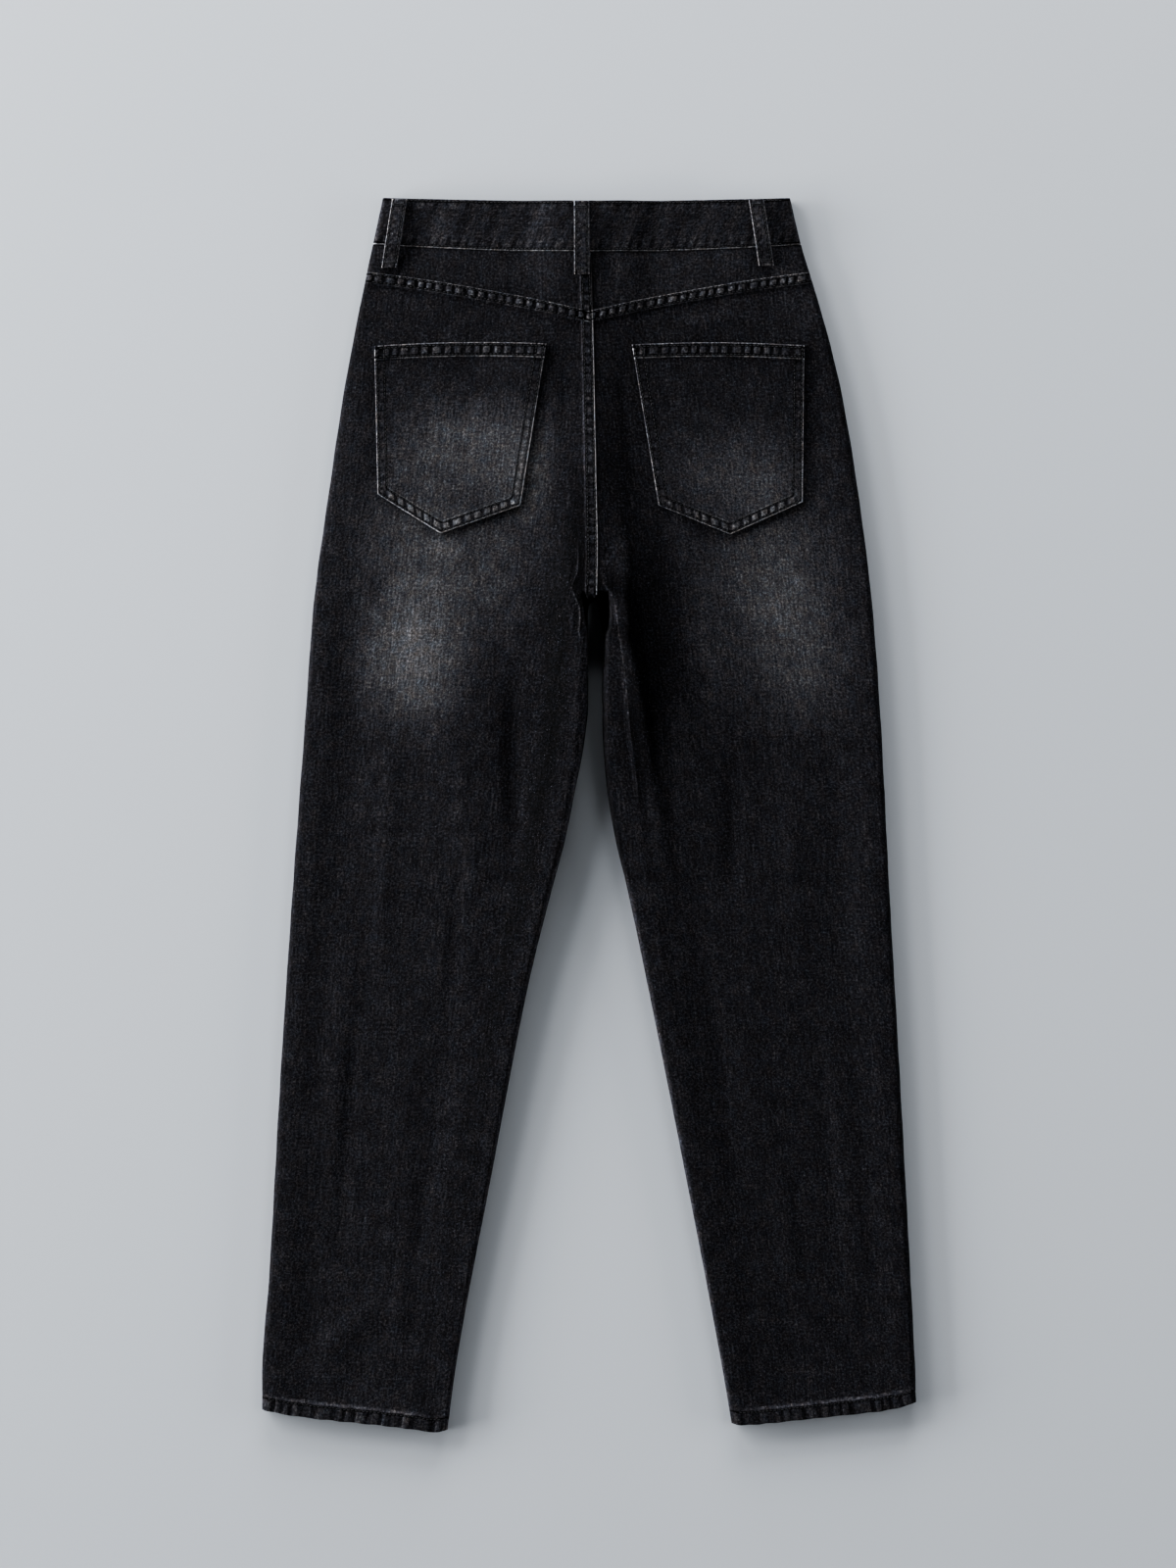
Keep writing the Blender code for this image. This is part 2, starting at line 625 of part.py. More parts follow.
def front_facing(side):
    """The cloth behind a front pocket's mouth, from under the front leg out to the side seam."""
    def downs(x):
        top = band_edge_low(x[0]) + SEAM_GAP
        shares = np.array([0, 0.2, 0.4, 0.6, 0.8, 1])
        return top + shares * (MOUTH_END - FACING_SHORT - top)

    def inner(down):
        return pocket_mouth(side, down) - SIDES[side] * FACING_LAP

    def outer(down):
        inset = FACING_INSET + 0.004 * fade(MOUTH_END - down, 0.0, 0.010)
        return outer_edge(side, down) - SIDES[side] * inset

    x, down = panel_points(FACING_COLUMNS, inner, outer, downs)
    height = front_under(x, down) + DENIM + SEAM_GAP
    cloth("front_pocket_facing_" + side, x, down, height, DENIM)


def back_pocket(side):
    corners = POCKETS[side]
    across = np.array([0, 0.01, 0.05, 0.13, 0.24, 0.37, 0.5, 0.63, 0.76, 0.87, 0.95, 0.99, 1])
    depth = corners["low_inner"].down - corners["top_inner"].down
    hem = POCKET_HEM / depth
    along = np.array([0, 0.01, hem - 0.01, hem, 0.22, 0.36, 0.5, 0.64, 0.78, 0.9, 0.98, 1])
    bottom = [corners["low_outer"], corners["tip"], corners["low_inner"]]
    top = [corners["top_outer"], corners["top_inner"]]
    top_x = np.interp(across, [0, 1], [corner.x for corner in top])
    top_down = np.interp(across, [0, 1], [corner.down for corner in top])
    top_down = top_down - POCKET_TOP_ARCH * 4 * across * (1 - across)
    bottom_x = np.interp(across, [0, 0.5, 1], [corner.x for corner in bottom])
    bottom_down = np.interp(across, [0, 0.5, 1], [corner.down for corner in bottom])
    share = along[:, None]
    x = top_x * (1 - share) + bottom_x * share
    down = top_down * (1 - share) + bottom_down * share
    height = back_top(side, x, down) + PATCH_GAP + DENIM
    height[:3] += POCKET_HEM_EXTRA
    cloth("back_pocket_" + side, x, down, height, DENIM, range(3), DENIM + POCKET_HEM_EXTRA)


def waistband():
    """One strip from its outer end at the closure, round by the left side, back and right."""
    turn = np.radians([0, 25, 50, 75, 105, 130, 155, 180])
    side_top = 2 * BAND_WALL + BAND_HOLLOW
    arc_out = BAND_ROUND * np.sin(turn)
    arc_up = side_top / 2 * (1 - np.cos(turn))
    rows = []
    for share in (0, 0.05, 0.35, 0.65, 0.95, 1):
        left = outer_edge("left", BAND_SIDE_DEPTH * share) + BAND_ROUND
        right = outer_edge("right", BAND_SIDE_DEPTH * share) - BAND_ROUND
        outer_end = np.linspace(OVERLAP_END, left, 19)[:-1]
        back = np.linspace(left, right, 34)[1:-1]
        inner_end = np.linspace(right, UNDERLAP_END, 20)[1:]
        x = np.concatenate([outer_end, left - arc_out, back, right + arc_out, inner_end])
        down = band_edge_top(x) + share * (band_edge_low(x) - band_edge_top(x))
        outer_height = front_under(outer_end, down[:len(outer_end)])
        inner_height = front_under(inner_end, down[-len(inner_end):]) + band_overlap(inner_end)
        heights = [outer_height, arc_up, band_top(back), arc_up[::-1], inner_height]
        rows.append((x, down, np.concatenate(heights)))
    x, down, height = (np.stack([row[i] for row in rows]) for i in range(3))
    cloth("waistband", x, down, height, BAND_WALL)


def under_back_loop(side, x, down):
    """Height of what a back loop lies on: the waistband, then the yoke below it."""
    on_yoke = back_top(side, x, np.maximum(down, band_edge_low(x)))
    return on_yoke + (band_top(x) - on_yoke) * fade(down - band_edge_low(x), 0.001, 0.012)


def back_loop(loop):
    along = np.array([0, 0.06, 0.2, 0.35, 0.5, 0.65, 0.78, 0.9, 1])[:, None]
    middle = loop.top_x + (loop.bottom_x - loop.top_x) * along
    down = loop.top_down + (loop.bottom_down - loop.top_down) * along
    across = [middle + part * LOOP_WIDTH for part in (-0.5, 0, 0.5)]
    base = np.max([under_back_loop(loop.side, x, down) for x in across], axis=0)
    arch = LOOP_ARCH * fade(np.abs(along - 0.5), 0.15, 0.42)
    x = middle + LOOP_WIDTH * np.array([[-0.5, -0.42, 0, 0.42, 0.5]])
    height = base + PATCH_GAP + LOOP_WALL + arch
    cloth(loop.name, x, down + 0 * x, height + 0 * x, LOOP_WALL)


def front_loop(side):
    across = LOOP_WIDTH * np.array([[-0.5, -0.42, 0.42, 0.5]])
    down = np.linspace(FRONT_LOOP_TOP, FRONT_LOOP_END, 4)[:, None] + 0 * across
    x = SIDES[side] * FRONT_LOOP_AT + across + 0 * down
    cloth("belt_loop_front_" + side, x, down, 0 * x, LOOP_WALL)


def fly():
    """The flap over the closure, as wide as its stitching and rounded off at the bottom."""
    start = band_edge_low(FRONT_CENTRE) + SEAM_GAP
    straight = np.linspace(start, FLY_BEND, 4)
    bend = FLY_BEND + (FLY_END - FLY_BEND) * np.sin(np.radians([15, 30, 45, 60, 72, 82]))
    down = np.append(straight, bend)[:, None]
    share = np.clip((down - FLY_BEND) / (FLY_END - FLY_BEND), 0, 1)
    width = FLY_WIDTH * np.sqrt(1 - share**2)
    x = centre_seam(down) - width * np.array([[0, 0.04, 0.35, 0.65, 0.96, 1]])
    cloth("fly", x, down + 0 * x, 0 * x, DENIM)


def waistband_button():
    """A turned button: its face and rim swept round with a Screw modifier."""
    points = [(ring.radius, 0.0, ring.height) for ring in BUTTON_RINGS]
    mesh = bpy.data.meshes.new("waistband_button")
    mesh.from_pydata(points, [(i, i + 1) for i in range(len(points) - 1)], [])
    obj = new_object("waistband_button", mesh, METAL_FINISH)
    obj.location = (FRONT_CENTRE, LENGTH / 2 - BUTTON_DOWN, 0.0)
    turned = obj.modifiers.new("turned", "SCREW")
    turned.steps = 28
    turned.render_steps = 28
    turned.use_merge_vertices = True
    turned.merge_threshold = 0.00001
    turned.use_normal_calculate = True
    turned.use_smooth_shade = True


def main():
    for obj in list(bpy.data.objects):
        bpy.data.objects.remove(obj)
    collection = bpy.data.collections.new("mom_jeans")
    bpy.context.scene.collection.children.link(collection)
    for side in SIDES:
        back_leg(side)
        yoke(side)
        back_pocket(side)
        front_leg(side)
        front_facing(side)
        front_loop(side)
    for loop in BACK_LOOPS:
        back_loop(loop)
    waistband()
    fly()
    waistband_button()


main()
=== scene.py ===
import math
from collections import namedtuple

import bpy
import numpy as np
from mathutils import Matrix


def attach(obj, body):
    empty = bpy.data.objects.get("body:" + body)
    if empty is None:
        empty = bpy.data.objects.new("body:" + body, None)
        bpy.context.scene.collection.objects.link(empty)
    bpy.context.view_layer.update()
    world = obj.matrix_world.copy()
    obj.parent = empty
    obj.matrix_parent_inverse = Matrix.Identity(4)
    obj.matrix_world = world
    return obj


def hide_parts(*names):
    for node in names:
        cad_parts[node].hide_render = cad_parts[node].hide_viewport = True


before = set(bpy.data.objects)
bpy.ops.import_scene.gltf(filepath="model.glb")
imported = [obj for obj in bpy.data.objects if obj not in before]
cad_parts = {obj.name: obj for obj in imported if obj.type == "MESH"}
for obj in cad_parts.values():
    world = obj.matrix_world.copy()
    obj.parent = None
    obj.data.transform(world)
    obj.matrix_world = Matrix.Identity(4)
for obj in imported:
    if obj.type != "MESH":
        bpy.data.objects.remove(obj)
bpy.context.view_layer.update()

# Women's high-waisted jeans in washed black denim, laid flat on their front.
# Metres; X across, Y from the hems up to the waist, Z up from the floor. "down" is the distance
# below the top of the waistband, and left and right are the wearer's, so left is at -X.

# Sizes of the garment, as the solids have them
LENGTH = 1.006
DENIM = 0.0013
SEAM_GAP = 0.0003
PATCH_GAP = 0.0004
CROTCH = 0.3245
CROTCH_LOW = 0.0045
CROTCH_ROUND = 0.003
EDGE_ROUND = 0.0045
FELL_WIDTH = 0.009
FELL_RISE = 0.0008
HEM_DEPTH = 0.0118
HEM_WALL = 0.0022
HEM_TOP = 0.0068
INSIDE = 0.0027
BAND_WALL = 0.0022
BAND_HOLLOW = 0.001
BAND_SIDE_DEPTH = 0.038
BAND_CENTRE_DEPTH = 0.0447
BAND_TOP_DIP = 0.0032
BAND_ROUND = 0.003
BAND_STEP = 0.0008
OVERLAP_END = 0.014
UNDERLAP_END = -0.022
LOOP_WIDTH = 0.0125
LOOP_WALL = 0.0016
LOOP_ARCH = 0.0010
FRONT_LOOP_AT = 0.088
FRONT_LOOP_TOP = 0.0045
FRONT_LOOP_END = 0.0575
FRONT_CENTRE = 0.003
BUTTON_DOWN = 0.022
BUTTON_THICK = 0.0022
FLY_WIDTH = 0.038
FLY_BEND = 0.14
FLY_END = 0.2
MOUTH_WIDTH = 0.07
MOUTH_END = 0.14
FACING_LAP = 0.012
FACING_INSET = 0.0026
FACING_SHORT = 0.0018
POCKET_HEM = 0.011
POCKET_HEM_EXTRA = 0.0006
POCKET_TOP_ARCH = 0.0022

# Sizes that only the scene has
CLOTH_WALL = DENIM - 0.0001
HEM_ROUND = 0.0011
FELL_SLOPE = 0.0012
STRIP_END = 0.006
FLAP_REACH = 0.060
LEG_MIDDLE = 0.340
OUTLINE_WAVE = 0.00015
SHARP_EDGE = math.radians(55)
LOOP_RIDGE = 0.00022
FLOOR_GAP = 0.0003
WARP_LEAN = 0.105

# Sewing: rows of thread, and the puckers that they draw up
STITCH_PITCH = 0.0031
STITCH_LONG = 0.0025
STITCH_RADIUS = 0.00026
ROW_IN = 0.0019
ROW_TWO = 0.0078
PUCKER = 0.00038
PUCKER_PERIOD = 0.0082
NO_SEAM = 0.02
HEM_ROW = 0.0104
POCKET_ROW = 0.0098
BAND_PUCKER_LOW = 0.00018
BAND_PUCKER_HIGH = 0.00012
LOOP_PUCKER = 0.00012
POCKET_PUCKER = 0.72 * PUCKER
LOOP_ROWS = (ROW_IN - LOOP_WIDTH / 2, LOOP_WIDTH / 2 - ROW_IN)
TACK_PITCH, TACK_LONG = 0.0012, 0.0016
THREAD_LIFT = 0.00006
THREAD_END = 0.005

# How much the wear and the painted shade change the tone of the cloth, whose wash is from -0.5 to 1
HEM_EDGE_WEAR = 0.30
HEM_RIDGE_WEAR = 0.24
POCKET_HEM_WEAR = 0.95
# The *_SHADE values are painted shade; SLOPE_SHADE's right value, below 0, is painted light
SIDE_SHADE = 0.45
SLOPE_SHADE = {"left": 2.6, "right": -0.5}
SLIT_SHADE = 0.50
RIGHT_THIGH_SHADE = 0.75
HIDDEN_WASH = 0.12
FRONT_FADE = 0.65

# How far off on the cloth each small piece was cut, so that its grain is its own
POCKET_CUT, LOOP_CUT, BAND_CUT = 0.31, 0.4, 0.7

SIDES = {"left": -1, "right": 1}


def table(fields, *rows):
    """Rows of values, each of which has the name of its field."""
    kind = namedtuple("Row", fields)
    return [kind(*row) for row in rows]


def mm_table(fields, *rows):
    """A table in metres of rows in millimetres."""
    return table(fields, *([value / 1000 for value in row] for row in rows))


OUTLINE = mm_table(
    "down left_outer right_outer",
    (0, 168.5, 163.5), (40, 177, 173), (93, 188, 189), (157, 200, 205), (237, 212, 218.5),
    (333, 225, 230.5), (429, 232, 237.5), (557, 241.5, 244), (717, 252, 253), (877, 261, 261.5),
    (957, 266.8, 265.5), (1006, 267, 267))
# Beside the crotch this slit is wider than the one between the solids' legs
INNER_EDGE = mm_table(
    "down left left_thigh right right_thigh",
    (326, 5, -4.5, 6.6, 14.2), (334, -1, -3.8, 7.8, 15.2), (342, -1.6, -3.2, 8.8, 15.3),
    (350, -1.4, -1.8, 10, 14.6), (357, -1, -1, 11.2, 12.8), (368, -0.8, -0.8, 11.9, 11.9),
    (380, -0.8, -0.8, 11.5, 11.5), (390, -0.9, -0.9, 10.5, 10.5), (403, -1, -1, 10.2, 10.2),
    (418, -1.2, -1.2, 10.4, 10.4), (434, -3, -3, 10.7, 10.7), (453, -5.6, -5.6, 11.6, 11.6),
    (477, -10.5, -10.5, 13.6, 13.6), (525, -20.2, -20.2, 21.6, 21.6),
    (557, -28.8, -28.8, 29.4, 29.4), (637, -48.8, -48.8, 46.4, 46.4), (797, -80, -80, 78.4, 78.4),
    (957, -109.6, -109.6, 108.8, 108.8), (1006, -116, -116, 117, 117))
CENTRE_SEAM = mm_table(
    "down x",
    (30, 0.8), (93, 2.8), (167, 4.5), (234, 5.8), (288, 6.8), (330, 6.1))
YOKE_SEAM = mm_table(
    "out down",
    (0, 92.7), (45, 82.6), (90, 74.2), (140, 65.9), (185, 60))
HEM_LINE = table(
    "across left right",
    (0.00, 0.9875, 0.9815), (0.15, 0.9920, 0.9875), (0.40, 0.9966, 0.9920), (0.60, 0.9996, 0.9952),
    (0.80, 1.0032, 0.9984), (0.95, 1.0058, 1.0000), (1.00, 1.0040, 0.9988))
LOFT = mm_table(
    "down level outer",
    (40, 4.6, 5.2), (90, 5, 5.6), (150, 5.3, 6), (250, 5.6, 6.3), (450, 5.3, 6.5), (620, 4.9, 6.4),
    (800, 4.6, 6.3), (950, 5, 6.4), (1010, 5.4, 6.4))
INNER_FOLD = {
    "left": mm_table(
        "down crest crest_rise foot foot_rise flat edge",
        (60, 0, 0, 30, 0, 50, 4.5), (120, 1, 0.6, 34, 0, 55, 4.5), (200, 2, 2, 38, 0.3, 60, 4.5),
        (260, 3, 4.6, 40, 0.5, 66, 6), (305, 5, 7.8, 40, 0.7, 70, 6), (327, 8, 9, 40, 0.9, 70, 4),
        (350, 11, 9.6, 40, 1.1, 70, 5), (397, 13, 9.4, 41, 1.2, 70, 11.5),
        (445, 13, 8.4, 41, 0.9, 70, 10.5), (500, 13, 7, 40, 0.5, 68, 9),
        (560, 12, 5.8, 38, 0.2, 64, 7), (700, 11, 4, 36, 0, 60, 5.8), (850, 10, 2.4, 34, 0, 56, 5),
        (1010, 10, 1.2, 34, 0, 55, 4.5)),
    "right": mm_table(
        "down crest crest_rise foot foot_rise flat edge",
        (60, 0, 0, 22, 0, 45, 4.5), (120, 1, 0.6, 22, -0.3, 52, 4.5),
        (200, 2, 2, 24, -0.9, 62, 4.5), (260, 3, 4.6, 24, -1.5, 70, 4.5),
        (305, 4, 8, 21, -2, 76, 4.5), (327, 5, 9.2, 16, -2.2, 76, 4.5),
        (350, 7, 9.8, 18, -2.2, 76, 5), (397, 18, 9.4, 31, -2, 72, 7.5),
        (445, 24, 7.4, 38, -1.5, 68, 7.5), (490, 25, 5.2, 42, -0.6, 64, 6.5),
        (560, 16, 4, 42, 0, 62, 6), (700, 11, 3.2, 38, 0, 60, 5.5), (850, 10, 2.2, 34, 0, 56, 5),
        (1010, 10, 1.2, 34, 0, 55, 4.5)),
}

# Soft folds, each a ridge, or a trough where its rise is below 0: first those of the solids
SOFT_FOLD = "x0 down0 x1 down1 rise reach"
BACK_FOLDS = mm_table(
    SOFT_FOLD,
    (-200, 320, -186, 520, -0.9, 24), (-120, 400, -86, 600, 0.8, 26),
    (-200, 560, -216, 860, 0.7, 22), (-110, 640, -150, 900, -0.8, 24),
    (-170, 900, -236, 965, 0.9, 20), (80, 340, 140, 500, 0.9, 28), (190, 400, 205, 640, -0.8, 24),
    (110, 580, 150, 840, 0.8, 24), (200, 700, 225, 930, 0.7, 22), (150, 880, 180, 975, -0.8, 20))
FINE_FOLDS = mm_table(
    SOFT_FOLD,
    (-63, 375, -60, 560, -1.1, 13), (-36, 395, -44, 520, 0.6, 12), (-158, 420, -172, 640, 0.5, 11),
    (-104, 520, -118, 700, -0.5, 10), (-190, 660, -205, 880, -0.5, 10),
    (-140, 760, -160, 950, 0.5, 12), (116, 415, 116, 590, -1.1, 13), (70, 420, 76, 560, 0.6, 12),
    (160, 460, 176, 660, 0.5, 11), (88, 600, 116, 760, -0.5, 10), (182, 640, 204, 860, -0.5, 11),
    (150, 740, 172, 930, 0.5, 12), (-120, 98, -60, 108, 0.4, 8), (60, 106, 130, 96, 0.4, 8),
    (-30, 130, -26, 230, 0.5, 10), (24, 130, 32, 240, -0.6, 10), (-192, 110, -205, 240, 0.4, 10),
    (196, 110, 210, 250, 0.4, 10))
FRONT_FOLDS = mm_table(
    SOFT_FOLD,
    (-190, 240, -50, 300, 0.9, 12), (-180, 270, -30, 322, 1.1, 12), (-150, 330, -40, 360, 0.8, 13),
    (50, 290, 190, 235, 0.9, 12), (36, 318, 170, 275, 1.1, 12), (40, 352, 160, 335, 0.8, 13),
    (-120, 480, -150, 700, 0.9, 18), (-190, 640, -215, 860, 0.7, 15), (110, 470, 130, 690, 0.9, 18),
    (190, 660, 220, 880, 0.7, 15), (-150, 900, -200, 960, 0.7, 14), (150, 890, 205, 950, 0.7, 14))

# Sharp creases near the crotch, along X and down points. bright is how pale a crease's top is,
# partly wear and partly painted highlight, and shade is painted shade on the cloth right of it.
CREASES = table(
    "rise reach bright shade points",
    (0.0013, 0.0030, 0.50, 0.32, mm_table(
        "x down",
        (7.2, 304), (13.2, 317.6), (18, 323), (21.2, 333.6), (22.6, 346), (24.4, 359.2),
        (26.8, 375), (29.2, 394), (30.8, 413.6), (34, 444), (38.4, 477.6), (39.6, 510))),
    (0.0005, 0.0016, 0.85, 0.25, mm_table(
        "x down",
        (-10, 277.6), (-9.2, 293.6), (-10.2, 306), (-15, 318), (-11.4, 327.2), (-8, 335.2),
        (-7.7, 344.8), (-8.8, 356), (-5.4, 364))),
    (0.0006, 0.0024, 0.18, 0.0, mm_table(
        "x down",
        (-13, 290), (-18.5, 318), (-13.6, 340), (-14.2, 360))),
    (-0.0006, 0.0022, 0.0, 0.0, mm_table(
        "x down",
        (9.2, 300), (14, 288), (26, 270))),
    (-0.0005, 0.0022, 0.0, 0.0, mm_table(
        "x down",
        (-8, 305), (-20, 292), (-34, 284))),
    (0.0005, 0.0030, 0.0, 0.0, mm_table(
        "x down",
        (11, 306), (20, 292), (34, 280))),
    (-0.0006, 0.0026, 0.0, 0.0, mm_table(
        "x down",
        (-18, 330), (-30, 342), (-42, 348))),
    (-0.0005, 0.0024, 0.0, 0.0, mm_table(
        "x down",
        (-15, 364), (-23, 380), (-28, 400))))

# The pockets' corners: top outer, top inner, low inner, tip and low outer
POCKETS = {
    "left": mm_table(
        "x down",
        (-175.2, 121.2), (-35, 119.4), (-56.2, 251.2), (-121.2, 274), (-172.6, 242)),
    "right": mm_table(
        "x down",
        (175, 120.7), (34.4, 120.1), (56.2, 251.1), (114.6, 274.8), (173.6, 248.4)),
}
BACK_LOOPS = table(
    "name side top_x bottom_x top_down bottom_down",
    ("belt_loop_back_left", "left", -0.1545, -0.1632, 0.0018, 0.0575),
    ("belt_loop_back_centre", "left", -0.0064, -0.0062, 0.0040, 0.0636),
    ("belt_loop_back_right", "right", 0.1356, 0.1440, 0.0020, 0.0560))

# Soft spots where the wash has faded the cloth or left it darker, and spots of painted shade
# Painted shade: dark spots at x -8, 15, 24 mm by the centre-back strip, 41, 48 mm in the right
# trough
WASH_AND_SHADE_SPOTS = table(
    "x down reach_x reach_down amount",
    (-0.1012, 0.2016, 0.072, 0.046, 0.52), (-0.0452, 0.2056, 0.034, 0.040, 0.25),
    (-0.1452, 0.2800, 0.048, 0.075, 0.40), (-0.1452, 0.3776, 0.050, 0.066, 0.71),
    (-0.0892, 0.2936, 0.056, 0.075, 0.34), (0.1228, 0.2216, 0.068, 0.042, 0.46),
    (0.1548, 0.2936, 0.052, 0.070, 0.46), (0.1720, 0.3740, 0.050, 0.074, 0.53),
    (-0.0080, 0.2950, 0.015, 0.080, -0.55), (-0.0480, 0.2350, 0.022, 0.036, 0.34),
    (-0.0560, 0.2480, 0.042, 0.042, 0.15), (-0.1250, 0.3500, 0.080, 0.095, 0.12),
    (-0.0700, 0.4300, 0.034, 0.075, -0.18), (0.1080, 0.3400, 0.055, 0.095, 0.22),
    (0.0150, 0.2600, 0.013, 0.100, -0.25), (0.0480, 0.3500, 0.040, 0.110, -0.40),
    (0.0410, 0.4400, 0.018, 0.060, -0.30), (0.0680, 0.4450, 0.020, 0.055, 0.20),
    (0.0240, 0.2300, 0.020, 0.110, -0.16), (-0.0600, 0.4600, 0.024, 0.090, -0.10),
    (0.1160, 0.4900, 0.028, 0.090, -0.12))
WASH = table(
    "down left right",
    (0.000, 0.08, 0.10), (0.070, -0.11, 0.01), (0.130, -0.13, -0.20), (0.190, 0.04, -0.12),
    (0.300, 0.08, 0.03), (0.420, 0.01, -0.06), (0.700, -0.03, -0.12), (1.006, -0.02, -0.12))


def curve(rows, column, at):
    """The column's value at each place along the table's first column, on a smooth curve."""
    x = np.array([row[0] for row in rows])
    y = np.array([getattr(row, column) for row in rows])
    slope = np.diff(y) / np.diff(x)
    before = np.append(slope[:1], slope)
    after = np.append(slope, slope[-1:])
    same_way = before * after > 0
    total = np.where(same_way, before + after, 1.0)
    tangent = np.where(same_way, 2 * before * after / total, 0.0)
    at = np.clip(at, x[0], x[-1])
    i = np.clip(np.searchsorted(x, at) - 1, 0, len(x) - 2)
    width = x[i + 1] - x[i]
    t = (at - x[i]) / width
    start = (1 + 2 * t) * (1 - t) ** 2 * y[i] + t * (1 - t) ** 2 * width * tangent[i]
    end = t * t * (3 - 2 * t) * y[i + 1] + t * t * (t - 1) * width * tangent[i + 1]
    return start + end


def fade(distance, full, none):
    """1 up to full, 0 from none on, and smooth between them."""
    t = np.clip((distance - full) / (none - full), 0, 1)
    return 1 - t * t * (3 - 2 * t)


def round_edge(distance, radius):
    """The share of the full height at a distance in from a seam that the cloth is turned at."""
    t = np.clip(distance / radius, 0, 1)
    return np.sqrt(1 - (1 - t) ** 2)


def soften(distance, radius):
    """How far a turned or cut edge of that radius is below the face beside it."""
    t = np.clip(distance / radius, 0, 1)
    return radius * (1 - np.sqrt(1 - (1 - t) ** 2))


def phase(at, period, seed):
    """The angle of an uneven wave along a line, with about one crest in each period."""
    turn = 2 * math.pi * at / period
    return turn + 0.9 * np.sin(0.131 * turn + seed) + 0.45 * np.sin(0.387 * turn + 2.7 * seed)


def wave_size(at, period, seed):
    return 0.82 + 0.18 * np.sin(0.173 * 2 * math.pi * at / period + 1.9 * seed)


def uneven(at, period, seed):
    """An uneven wave from -1 to 1 along a line."""
    return np.sin(phase(at, period, seed)) * wave_size(at, period, seed)


def seam(at, period, seed, band, amount=1.0):
    """What the material needs beside a sewn edge: its wave's angle, the distance in, the amount."""
    at, band = np.broadcast_arrays(at, band)
    amount = amount * wave_size(at, period, seed)
    return np.stack([phase(at, period, seed), np.minimum(band, NO_SEAM), amount], axis=-1)


def choose(first, second, where):
    return np.where(where[..., None], first, second)


def outer_edge(side, down):
    wave = OUTLINE_WAVE * uneven(down, 0.047, 1.0 if side == "left" else 2.2)
    return SIDES[side] * (curve(OUTLINE, side + "_outer", down) + wave * fade(-down, -0.06, -0.04))


def centre_seam(down):
    return curve(CENTRE_SEAM, "x", down)


def inner_edge(side, down):
    seamed = centre_seam(down) + SIDES[side] * SEAM_GAP / 2
    return np.where(down < CROTCH, seamed, curve(INNER_EDGE, side, down))


def crotch_width(side, down):
    edge = curve(INNER_EDGE, side, down)
    return np.abs(curve(INNER_EDGE, side + "_thigh", down) - edge)


def lies_low(side, down):
    return (down > CROTCH) & (crotch_width(side, down) > CROTCH_ROUND)


def below_band(x):
    return band_edge_low(x) + SEAM_GAP


def yoke_line(x):
    return curve(YOKE_SEAM, "down", np.abs(x))


def hem_line(side, x):
    outer = outer_edge(side, LENGTH)
    share = (outer - x) / (outer - inner_edge(side, LENGTH))
    return curve(HEM_LINE, side, share) + 0.0003 * uneven(x, 0.019, 0.4)


def band_edge_top(x):
    return BAND_TOP_DIP * (1 - (x / outer_edge("left", 0.0)) ** 2)


def band_edge_low(x):
    middle = 1 - (x / outer_edge("left", BAND_SIDE_DEPTH)) ** 2
    return BAND_SIDE_DEPTH + (BAND_CENTRE_DEPTH - BAND_SIDE_DEPTH) * middle


def pocket_mouth(side, down):
    share = np.clip((down - BAND_SIDE_DEPTH) / (MOUTH_END - BAND_SIDE_DEPTH), 0, 1)
    return outer_edge(side, down) - SIDES[side] * MOUTH_WIDTH * np.sqrt(1 - share**2)


def rise_over_button(x, down, slack=0.0):
    far = np.hypot(x - FRONT_CENTRE, down - BUTTON_DOWN)
    return (BUTTON_THICK + SEAM_GAP) * fade(far, 0.012 + slack, 0.042 + 2 * slack)


def rise_over_front_loops(x, down, slack=0.0):
    beside = np.abs(np.abs(x) - FRONT_LOOP_AT)
    across = fade(beside, LOOP_WIDTH / 2 + 0.006 + slack, 0.064 + 2 * slack)
    return (LOOP_WALL + SEAM_GAP) * across * fade(down, 0.060, 0.130)


def rise_over_fly(x, down, slack=0.0):
    beside = np.abs(x - FRONT_CENTRE + FLY_WIDTH / 2)
    across = fade(beside, FLY_WIDTH / 2 + 0.012, FLY_WIDTH / 2 + 0.040 + slack)
    return (DENIM + SEAM_GAP) * across * fade(down, FLY_END + 0.004, FLY_END + 0.024 + slack)


def front_under(x, down):
    over_loops = np.maximum(rise_over_button(x, down), rise_over_front_loops(x, down))
    return np.maximum(over_loops, rise_over_fly(x, down))


def band_overlap(x, slack=0.0):
    beside = np.abs(x - (OVERLAP_END + UNDERLAP_END) / 2)
    half = (OVERLAP_END - UNDERLAP_END) / 2
    return (BAND_WALL + SEAM_GAP) * fade(beside, half + 0.002 + slack, half + 0.030 + 2 * slack)


def band_lift(x):
    lift = rise_over_button(x, BUTTON_DOWN, 0.006) + rise_over_front_loops(x, 0.0, 0.008)
    return lift + band_overlap(x, 0.006)


def band_top(x):
    return 2 * BAND_WALL + BAND_HOLLOW + band_lift(x)


def lift_below_band(x, down):
    fading = fade(down - BAND_CENTRE_DEPTH, 0.0, 0.100)
    return np.maximum(band_lift(x) * fading, rise_over_fly(x, down, 0.030))


def soft_folds(folds, x, down):
    total = np.zeros(np.broadcast(x, down).shape)
    for fold in folds:
        run_x, run_down = fold.x1 - fold.x0, fold.down1 - fold.down0
        long = math.hypot(run_x, run_down)
        t = ((x - fold.x0) * run_x + (down - fold.down0) * run_down) / long**2
        beside = np.abs((x - fold.x0) * run_down - (down - fold.down0) * run_x) / long
        total += fold.rise * fade(beside, 0.0, fold.reach) * fade(np.abs(t - 0.5), 0.15, 0.5)
    return total


